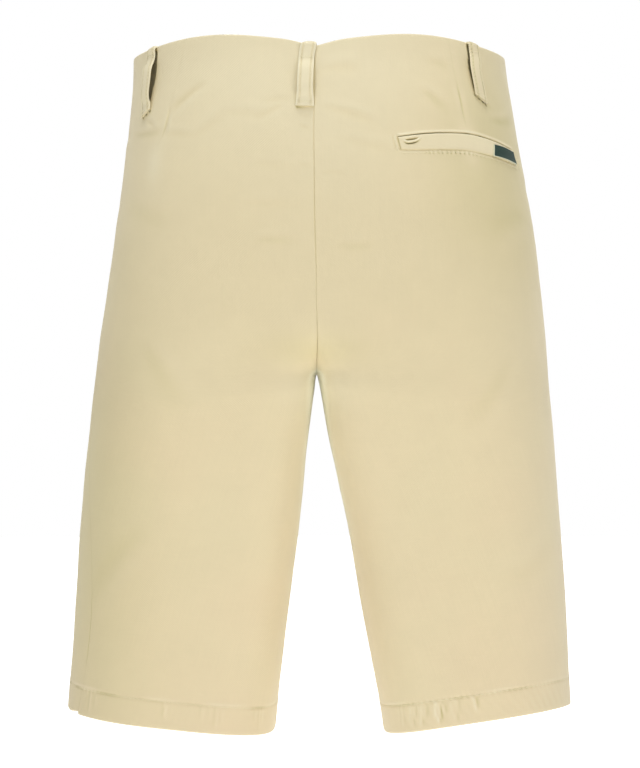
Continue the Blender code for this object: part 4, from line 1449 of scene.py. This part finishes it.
def loop_piece(row, finish):
    """A belt loop: a strip folded over the waist edge, tacked at its top and its foot."""
    depth, out = (values * MM for values in loop_profile(row))
    side, name = row["side"], f"belt_loop_{row['name']}"
    angle = np.full(len(depth), math.radians(90 - row["degrees"]))
    outward = normal(side, angle, np.minimum(-depth, -2 * MM))
    sideways = unit(np.cross(outward, (0, 0, 1.0)))
    sideways *= np.sign(sideways[:, :1])
    down = np.clip(depth / (row["foot"] * MM), 0, 1)
    shift = loop_shift(row, down) + LOOP_SWAY[0] * np.sin(down * LOOP_SWAY[1] + row["degrees"])
    for _ in range(3):
        shift = np.convolve(np.pad(shift, 4, mode="edge"), np.full(9, 1 / 9), mode="valid")
    centre = surface(side, angle, -depth) + outward * out[:, None] + sideways * shift[:, None]
    tangent = unit(np.gradient(centre, axis=0))
    across = unit(sideways - tangent * (sideways * tangent).sum(axis=1, keepdims=True))
    face = np.cross(across, tangent)
    face *= np.sign((face * outward).sum(axis=1)[len(face) // 2])
    wide, skewed, doubled = (smooth((down - start) / length)
                             for start, length in (LOOP_WIDENS, LOOP_SKEWS, LOOP_DOUBLES))
    width = (row["width"] + (row["foot_width"] - row["width"]) * wide) * MM
    skewed = row["skew"] / row["width"] * skewed
    doubled = 1 + LOOP_DOUBLED * doubled
    folded = smooth((5 * MM - depth) / (6 * MM)) * smooth(np.arange(len(depth)) / (len(depth) / 9))
    share = np.sin(np.linspace(-math.pi / 2, math.pi / 2, LOOP_RING))
    points, tones = [], []
    for turned in (1, -1):
        for s in share[::turned]:
            x = s * width / 2
            inset = np.abs(np.abs(x) - (width / 2 - LOOP_STITCH_INSET))
            dip = LOOP_GROOVE * bump(inset, 0.60 * MM)
            belly = LOOP_BELLY * (1 - s * s)
            half = LOOP_WALL / 2 * (1 - 0.75 * abs(s) ** 7) * (doubled if turned < 0 else 1)
            level = turned * half + (belly - dip if turned > 0 else -0.5 * dip)
            slid = centre + across * x[:, None] + tangent * (skewed * x)[:, None]
            lowered = row["droop"] * (0.5 + 0.5 * s * SIGN[side]) + 1.0 * abs(s) ** 5
            slid[:, 2] -= lowered * MM * folded
            points.append(slid + face * level[:, None])
            # the face is paler by its painted light, the rims paler with wear and more so where that
            # light is stronger, and the stitch grooves darker with painted shade
            rim = LOOP_RIM_TONE * smooth((abs(s) - 0.86) / 0.12) * (0.3 + row["pale"])
            tones.append(row["pale"] + rim - LOOP_GROOVE_SHADE * bump(inset, 0.45 * MM))
    grid = np.stack(points, 1)
    rows, columns = grid.shape[:2]
    middle = grid[rows // 2]
    u = run_along(np.concatenate([middle, middle[:1]]))[:-1]
    uv = np.stack(np.broadcast_arrays(u[None, :], run_along(centre)[:, None]), -1).reshape(-1, 2)
    piece = add_piece(f"{name}_cloth", grid.reshape(-1, 3), tube_faces(rows, columns), finish, uv,
                      np.stack(tones, 1).ravel())
    root_piece(piece, name)
    # two rows of stitches down its face, and a bar tack across its foot and its top
    lines = []
    shown = (depth > 1.0 * MM) & (np.arange(len(depth)) > len(depth) // 8)
    for edge in (-1, 1):
        x = edge * (width / 2 - LOOP_STITCH_INSET)
        line = centre + across * x[:, None] + tangent * (skewed * x)[:, None]
        line = line + face * (LOOP_WALL / 2 + LOOP_SEWN)
        lines.append(stitch_line(line[shown], face[shown], *LOOP_STITCH))
    for tack, bars, outside in zip((row["foot"] - LOOP_BAR_RISE, row["tack"]), LOOP_BARS, (0, 1)):
        i = int(np.argmin(np.abs(depth - tack * MM) + outside * (out < 0)))
        zigzag = np.linspace(-1, 1, 2 * bars + 1) * (width[i] / 2 - LOOP_BAR_INSET)
        lift = np.where(np.arange(2 * bars + 1) % 2, LOOP_BAR_WIDTH, -LOOP_BAR_WIDTH)
        slide = skewed[i] * zigzag + lift
        bar = centre[i] + across[i] * zigzag[:, None] + tangent[i] * slide[:, None]
        bar = bar + face[i] * (LOOP_WALL / 2 + LOOP_BAR_SEWN)
        lines.append((bar[:-1], bar[1:], np.repeat(face[i][None], 2 * bars, 0)))
    add_stitches(f"{name}_stitches", lines, LOOP_THREAD)
    return piece


# ---------------------------------------------------------------- the back pocket
WELT_COLUMNS_ACROSS = 210
WELT_ROWS_DOWN = 34
WELT_WALL = 1.2 * MM
# the gaping buttonhole: x, upper edge of the slit, its lower lip (mm below the welt's top)
HOLE_COLUMNS = ("x", "slit", "lip")
HOLE_ROWS = (
    (0.0625, 3.2, 3.2), (0.0640, 2.7, 4.0), (0.0655, 2.5, 5.0), (0.0675, 2.4, 5.4),
    (0.0705, 2.3, 5.3), (0.0730, 2.4, 4.7), (0.0752, 2.6, 3.6), (0.0770, 2.8, 2.8),
)
HOLE = table(HOLE_COLUMNS, HOLE_ROWS)
HOLE_GAPE = 3.2 * MM        # the opening at which its lower lip stands fully up
HOLE_DEPTH = 1.3 * MM
HOLE_LIP = 0.65 * MM        # how far the lower lip stands up, and the cloth under it lies down
HOLE_RIM = 0.16 * MM        # how far the upper edge stands up
# how far the welt's face stands up at its folded top, and sinks to its other three edges
WELT_FOLD = 1.15 * MM
WELT_SINK = 0.85 * MM
WELT_START_SINK = 1.15 * MM
WELT_END_SINK = 0.8 * MM
WELT_EDGE = 0.16 * MM
WELT_SWELL = (0.14 * MM, 160)       # how uneven it is: height, and pace along it
WELT_RIPPLE = (0.08 * MM, 410)
# how much paler the welt's face is, and the painted shade on its hidden back
WELT_TONE = 0.22
WELT_BACK_SHADE = -0.4
# its stitches: their lift off the cloth, length, gap and radius
WELT_SEWN = (0.12 * MM, 2.2 * MM, 0.8 * MM, 0.22 * MM)


def welt_relief(x, down, height):
    """Height over the panel and tone of the welt's face, with its gaping buttonhole; the tone holds
    painted light on the buttonhole's lip and painted shade in and under it and along the welt's edges.
    """
    start = x - WELT_START - WELT_LEANS[0] * down / height
    end = WELT_END + WELT_LEANS[1] * down / height - x
    relief = WELT_FOLD * smooth((down + 0.3 * MM) / (1.0 * MM))
    relief -= WELT_SINK * smooth((down - 0.72 * height) / (0.40 * height))
    relief -= WELT_START_SINK * smooth((0.8 * MM - start) / (0.8 * MM))
    relief -= WELT_END_SINK * smooth((1.2 * MM - end) / (1.6 * MM))
    relief += WELT_SWELL[0] * np.sin(x * WELT_SWELL[1] + 1) * np.sin(math.pi * down / height)
    relief += WELT_RIPPLE[0] * np.sin(x * WELT_RIPPLE[1]) * smooth(down / height)
    relief += WELT_EDGE * bump(height - down - 1.3 * MM, 0.8 * MM)
    first, last = HOLE[0]["x"], HOLE[-1]["x"]
    slit, lip = (spline(HOLE, "x", key)(np.clip(x, first, last)) * MM for key in ("slit", "lip"))
    gape = np.clip((lip - slit) / HOLE_GAPE, 0, 1)
    inside = window(x, first, last, 1.2 * MM, 2.0 * MM)
    opening = window(down, slit - 0.2 * MM, lip - 1.45 * MM, 0.4 * MM, 0.6 * MM)
    curl = bump(down - lip + 0.75 * MM, 0.62 * MM)
    under = bump(down - lip - 0.55 * MM, 0.70 * MM)
    upper = bump(down - slit + 0.6 * MM, 0.5 * MM)
    relief += inside * (HOLE_LIP * curl * (0.25 + 0.75 * gape) - HOLE_DEPTH * opening
                        - HOLE_LIP * under * (0.2 + 0.8 * gape) + HOLE_RIM * upper)
    # a little paler all over and along the top fold; painted light on the buttonhole's curled lip;
    # painted shade along the bottom edge, in the slit, under the lip, at the inner end and on the top
    # edge
    tone = WELT_TONE + 0.30 * bump(down - 0.5 * MM, 0.6 * MM) - 0.25 * bump(height - down, 0.6 * MM)
    tone += inside * (0.55 * curl - 1.05 * opening - 1.45 * under * gape)
    tone -= 0.85 * bump(start - 0.35 * MM, 0.40 * MM) + 0.5 * (down < 0.15 * MM)
    return relief, tone


def pocket_welt_piece(finish):
    along, share = np.meshgrid(np.linspace(0, 1, WELT_COLUMNS_ACROSS),
                               np.linspace(0, 1, WELT_ROWS_DOWN))
    first = WELT_START + WELT_LEANS[0] * share
    last = WELT_END + WELT_LEANS[1] * share
    x = first + along * (last - first)
    height = WELT_TOP(x) - WELT_BOTTOM(x)
    down = share * height
    base, out = skin_at("right", "back", x, WELT_TOP(x) - down)
    relief, tone = welt_relief(x, down, height)
    outer = base + out * relief[..., None]
    piece = wall_piece("pocket_welt_cloth", outer, outer - out * WELT_WALL, finish, (x, -down),
                       (tone, np.full(tone.shape, WELT_BACK_SHADE)))
    root_piece(piece, "pocket_welt")
    # the row of stitches under it, then up its inner end and its side end
    random = np.random.RandomState(3)
    lift, length, gap, radius = WELT_SEWN
    under = [(x, WELT_BOTTOM(x) - 2.1 * MM) for x in np.linspace(0.0625, 0.150, 80)]
    left = [(WELT_START - 1.7 * MM + WELT_LEANS[0] * s, WELT_TOP(0.0592) - 1 * MM - s * 9.5 * MM)
            for s in np.linspace(0, 1, 12)]
    right = [(0.1484 + 0.0036 * s, -0.0810 - s * 11.0 * MM) for s in np.linspace(0, 1, 12)]
    lines = []
    for spots in (under, left, right):
        points, outs = on_cloth("back_right", spots)
        lines.append(stitch_line(points + outs * lift, outs, length, gap, random))
    add_stitches("pocket_stitches", lines, radius)
    return piece


TAB_CORNERS = (     # x and height: upper inner, upper outer, lower outer, lower inner
    (0.1290, -0.0766), (0.1450, -0.0800), (0.1476, -0.0897), (0.1289, -0.0857),
)
TAB_HEIGHT = 9.8 * MM
TAB_LENGTH = 17.5 * MM
TAB_BOW = 0.6 * MM
TAB_WALL = 0.75 * MM
TAB_RISE = 1.95 * MM        # of its face over the panel's rings
TAB_ROUNDING = (0.45 * MM, 0.7 * MM)    # how its edges fall, over so much of it
TAB_SWELL = 0.12 * MM
TAB_RIM_WIDTH = 0.85 * MM


def pocket_tab_piece(finish):
    """The bare woven tab folded over the side end of the welt."""
    along, down = np.meshgrid(np.linspace(0, 1, 60), np.linspace(0, 1, 34))
    corners = np.array(TAB_CORNERS)
    upper = corners[0] + along[..., None] * (corners[1] - corners[0])
    lower = corners[3] + along[..., None] * (corners[2] - corners[3])
    place = upper + down[..., None] * (lower - upper)
    place[..., 1] += TAB_BOW * np.sin(math.pi * along)
    base, out = skin_at("right", "back", place[..., 0], place[..., 1])
    edge = np.minimum(np.minimum(down, 1 - down) * TAB_HEIGHT,
                      np.minimum(along, 1 - along) * TAB_LENGTH)
    rise = TAB_RISE - TAB_ROUNDING[0] * np.clip(1 - edge / TAB_ROUNDING[1], 0, 1) ** 2
    rise = rise + TAB_SWELL * np.sin(down * 5 + along * 3)
    outer = base + out * rise[..., None]
    rim = np.minimum(along * TAB_LENGTH, (1 - down) * TAB_HEIGHT + 0.2 * MM)
    tone = smooth((TAB_RIM_WIDTH - rim) / (0.35 * MM))
    piece = wall_piece("pocket_tab_woven", outer, outer - out * TAB_WALL, finish,
                       (along * TAB_LENGTH, -down * TAB_HEIGHT), (tone, tone))
    return root_piece(piece, "pocket_tab")


# ---------------------------------------------------------------- the fly
SHIELD_LEFT, SHIELD_RIGHT = -0.036, 0.008
SHIELD_TOP = -0.004
SHIELD_BOTTOM = -0.165
SHIELD_WALL = 1.2 * MM
SHIELD_BEHIND = 0.9 * MM    # behind the waist's wall
SHIELD_ROLL = 0.4 * MM      # how far its long edges roll back
SHIELD_EDGE = 1.5 * MM


def fly_shield_piece(finish):
    edge = float(WAIST_EDGE(180))
    x, z = np.meshgrid(np.linspace(SHIELD_LEFT, SHIELD_RIGHT, 31),
                       np.linspace(edge + SHIELD_TOP, SHIELD_BOTTOM, 81))
    base, out = np.zeros(x.shape + (3,)), np.zeros(x.shape + (3,))
    for side, chosen in (("left", x < 0), ("right", x >= 0)):
        base[chosen], out[chosen] = skin_at(side, "front", x[chosen], z[chosen])
    near = np.minimum(x - SHIELD_LEFT, SHIELD_RIGHT - x)
    rolled = SHIELD_ROLL * np.clip(1 - near / SHIELD_EDGE, 0, 1) ** 2
    front = base - out * (WAIST_WALL + SHIELD_BEHIND + rolled)[..., None]
    tone = 0.4 * smooth((SHIELD_EDGE - near) / MM)
    piece = wall_piece("fly_shield_cloth", front, front - out * SHIELD_WALL, finish, (x, z),
                       (tone, tone))
    return root_piece(piece, "fly_shield")


BUTTON_RADIUS = 8.5 * MM
BUTTON_X = -0.012
BUTTON_DEPTH = 0.017
BUTTON_PROFILE = (      # radius as a share of the button's, height in millimetres
    (0.00, 1.75), (0.30, 1.75), (0.52, 1.80), (0.60, 2.10), (0.70, 2.75), (0.80, 3.05),
    (0.90, 2.95), (0.97, 2.50), (1.00, 1.80), (0.97, 1.00), (0.86, 0.45), (0.60, 0.30), (0.00, 0.30),
)
BUTTON_RINGS = 46
BUTTON_TURNS = 96
BUTTON_HOLE_OFFSET = 1.9 * MM
BUTTON_HOLE = 0.95 * MM
BUTTON_HOLE_DEPTH = 1.2 * MM
BUTTON_THREADS = (-0.3 * MM, 0.0, 0.3 * MM)     # side by side, in each arm of the cross
BUTTON_THREAD_RISE = 1.9 * MM


def button_piece(finish):
    """A four-hole button on the fly's waist, sewn through with a cross of thread."""
    places, outs = on_cloth("front_left", [(BUTTON_X, float(WAIST_EDGE(180)) - BUTTON_DEPTH)])
    place, out = places[0], outs[0]
    right = unit(np.cross((0, 0, 1.0), out))
    up = np.cross(out, right)
    profile = np.array(BUTTON_PROFILE) * (BUTTON_RADIUS, MM)
    run = run_along(profile)
    stations = np.linspace(0, run[-1], BUTTON_RINGS)
    radius, height = (np.interp(stations, run, profile[:, k]) for k in (0, 1))
    radius[0] = radius[-1] = 0.05 * MM
    turn = np.linspace(0, 2 * math.pi, BUTTON_TURNS, endpoint=False)
    x = radius[:, None] * np.cos(turn)
    y = radius[:, None] * np.sin(turn)
    top = np.arange(BUTTON_RINGS)[:, None] < BUTTON_RINGS // 2
    deep = np.zeros_like(x)
    for a in (-1, 1):
        for b in (-1, 1):
            away = np.hypot(x - a * BUTTON_HOLE_OFFSET, y - b * BUTTON_HOLE_OFFSET)
            deep = np.maximum(deep, smooth((BUTTON_HOLE - away) / (0.35 * MM) + 0.5))
    h = height[:, None] - np.where(top, BUTTON_HOLE_DEPTH * deep, 0)
    points = place + right * x[..., None] + up * y[..., None] + out * h[..., None]
    # painted shade in the four holes, and paler towards the rim
    tone = np.where(top, -deep, 0) + 0.3 * smooth((radius[:, None] / BUTTON_RADIUS - 0.6) / 0.2)
    faces = [[face[0]] + face[:0:-1] for face in tube_faces(BUTTON_RINGS, BUTTON_TURNS)]
    piece = add_piece("waist_button_horn", points.reshape(-1, 3), faces, finish, tone=tone.ravel())
    root_piece(piece, "waist_button")
    middles = place + right * np.array(BUTTON_THREADS)[:, None] + out * BUTTON_THREAD_RISE
    lines = []
    for a, b in ((-1, -1), (-1, 1)):
        arm = (right * a + up * b) * BUTTON_HOLE_OFFSET
        lines.append((middles + arm, middles - arm, np.repeat(out[None], len(middles), 0)))
    add_stitches("waist_button_thread", lines, 0.24 * MM)


def thread_material():
    n = Nodes("sand_thread")
    ply = n.noise(n.place(), 2600.0, 2.0)
    shade = n.math("MULTIPLY_ADD", ply, 0.14, 0.93)
    n.look(Base_Color=n.scaled(THREAD, shade), Roughness=0.62, Specular_IOR_Level=0.3,
           Sheen_Weight=0.1)
    n.bumps((ply, 0.00006, 0.5))
    return n.material


def tab_material():
    """Dark green woven ribbon with fine cross ribs and a pale selvedge."""
    n = Nodes("green_tab")
    sheet = n.sheet()
    warp, weft = (n.add("ShaderNodeTexWave", {"bands_direction": axis}, Vector=sheet, Scale=scale,
                        Distortion=0.4).outputs["Fac"] for axis, scale in (("X", 0.85), ("Y", 0.55)))
    weave = n.math("MULTIPLY", warp, weft)
    fleck = n.noise(sheet, 2.0, 3.0)
    colour = n.ramp(n.tone(), ((0.0, TAB_GREEN), (0.45, TAB_WORN), (1.0, TAB_RIM)))
    shade = n.math("ADD", n.math("MULTIPLY_ADD", weave, 0.35, 0.80), n.math("MULTIPLY", fleck, 0.12))
    n.look(Base_Color=n.scaled(colour, shade), Roughness=0.72, Specular_IOR_Level=0.25,
           Sheen_Weight=0.12)
    n.bumps((weave, 0.00012, 0.6))
    return n.material


def horn_material():
    """Polished horn: streaks of dark and honey brown."""
    n = Nodes("brown_horn")
    place = n.place()
    streak = n.noise(n.mapped(place, (1.0, 1.0, 0.28)), 420.0, 4.0)
    grain = n.noise(place, 1500.0, 2.0)
    colour = n.ramp(streak, ((0.30, HORN_DARK), (0.55, HORN), (0.80, HORN_LIGHT)))
    shade = n.math("MULTIPLY_ADD", n.tone(), 0.35, n.math("MULTIPLY_ADD", grain, 0.10, 0.95))
    n.look(Base_Color=n.scaled(colour, shade), Coat_Weight=0.3,
           Roughness=n.math("MULTIPLY_ADD", grain, 0.15, 0.24))
    n.bumps((grain, 0.00003, 0.3))
    return n.material


# ---------------------------------------------------------------- the pieces
TWILL = twill_material("sand_twill")
SEWING = thread_material()
grids, shells = {}, {}
for side in ("left", "right"):
    for face in ("back", "front"):
        node = f"{face}_{side}"
        grids[node] = panel_grid(side, face)
        shells[node] = cloth_shell(grids[node])


def tree_of(shell):
    """A search tree over the outside of a panel."""
    outside = shell["outside"]
    rows, columns = outside.shape[:2]
    return BVHTree.FromPolygons(outside.reshape(-1, 3).tolist(), grid_faces(rows, columns))


TREES = {node: tree_of(shell) for node, shell in shells.items()}
SKIN_SEARCH = 0.012


def on_cloth(node, places):
    """Points and normals on the finished cloth of a panel, by sideways place and height."""
    face, side = node.split("_")
    points, outs = [], []
    for x, z in places:
        base, out = skin_at(side, face, np.array(x), np.array(z))
        hit = TREES[node].ray_cast(Vector(base + out * SKIN_SEARCH), Vector(-out), 2 * SKIN_SEARCH)
        points.append(np.array(hit[0]) if hit[0] is not None else base)
        outs.append(out)
    return np.array(points), np.array(outs)


# lift off the cloth, length, gap and radius of the stitches
HEM_SEWN = (0.10 * MM, 2.7 * MM, 0.55 * MM, 0.19 * MM)
FLY_SEWN = (0.1 * MM, 2.6 * MM, 0.5 * MM, 0.19 * MM)


def hem_stitches():
    """Both hems' rows of stitches, outside and inside, panel by panel."""
    random = np.random.RandomState(7)
    lift, length, gap, radius = HEM_SEWN
    for node, grid in grids.items():
        shell = shells[node]
        above = grid["v"][:, 0] - HEMS[grid["side"]]["outer_z"]
        i = int(np.searchsorted(-above, -HEM_DEPTH)) - 1
        share = (above[i] - HEM_DEPTH) / (above[i] - above[i + 1])
        lines = []
        for skin, direction in (("outside", 1.0), ("inside", -1.0)):
            line = shell[skin][i] * (1 - share) + shell[skin][i + 1] * share
            out = shell["normals"][i] * direction
            lines.append(stitch_line(line + out * lift, out, length, gap, random))
        add_stitches(f"hem_stitches_{node}", lines, radius)


FLY_ROWS = 6.0 * MM         # between its two rows of stitches
FLY_CURVE_DROP = 4 * MM     # how much longer than wide the turn at its foot is
BUTTONHOLE = (-13 * MM, 5 * MM)     # its ends, sideways from the button
BUTTONHOLE_HALF = 1.0 * MM          # its lips, above and below


def fly_stitches():
    """The curved double row of the fly on the left front, and its buttonhole."""
    edge = float(WAIST_EDGE(180))
    lift, length, gap, radius = FLY_SEWN
    lines = []
    for inset in (0.0, FLY_ROWS):
        reach = FLY_WIDTH - FLY_INSET - inset
        straight = [(-reach, z) for z in np.linspace(edge - 3 * MM, FLY_BOTTOM + reach, 60)]
        curve = [(-reach * math.cos(turn),
                  FLY_BOTTOM + reach - (reach + FLY_CURVE_DROP) * math.sin(turn))
                 for turn in np.linspace(0, math.pi / 2, 24)]
        spots = straight + [spot for spot in curve if spot[0] < -2.5 * MM][1:]
        points, outs = on_cloth("front_left", spots)
        lines.append(stitch_line(points + outs * lift, outs, length, gap))
    spots = [(BUTTON_X + x, edge - BUTTON_DEPTH + y) for y in (-BUTTONHOLE_HALF, BUTTONHOLE_HALF)
             for x in np.linspace(*BUTTONHOLE, 46)]
    points, outs = on_cloth("front_left", spots)
    half = len(spots) // 2
    near, far = points[:half], points[half:]
    lines.append((near[:-1], far[1:] * 0.45 + near[1:] * 0.55, outs[1:half]))
    lines.append((far[:-1], near[1:] * 0.45 + far[1:] * 0.55, outs[half + 1:]))
    add_stitches("fly_stitches", lines, radius)


for node, shell in shells.items():
    piece = add_piece(f"{node}_cloth", shell["points"], shell["faces"], TWILL, shell["uv"],
                      shell["tone"])
    root_piece(piece, node)
for row in LOOPS:
    piece = loop_piece(row, TWILL)
pocket_welt_piece(TWILL)
pocket_tab_piece(tab_material())
fly_shield_piece(TWILL)
button_piece(horn_material())
hem_stitches()
fly_stitches()
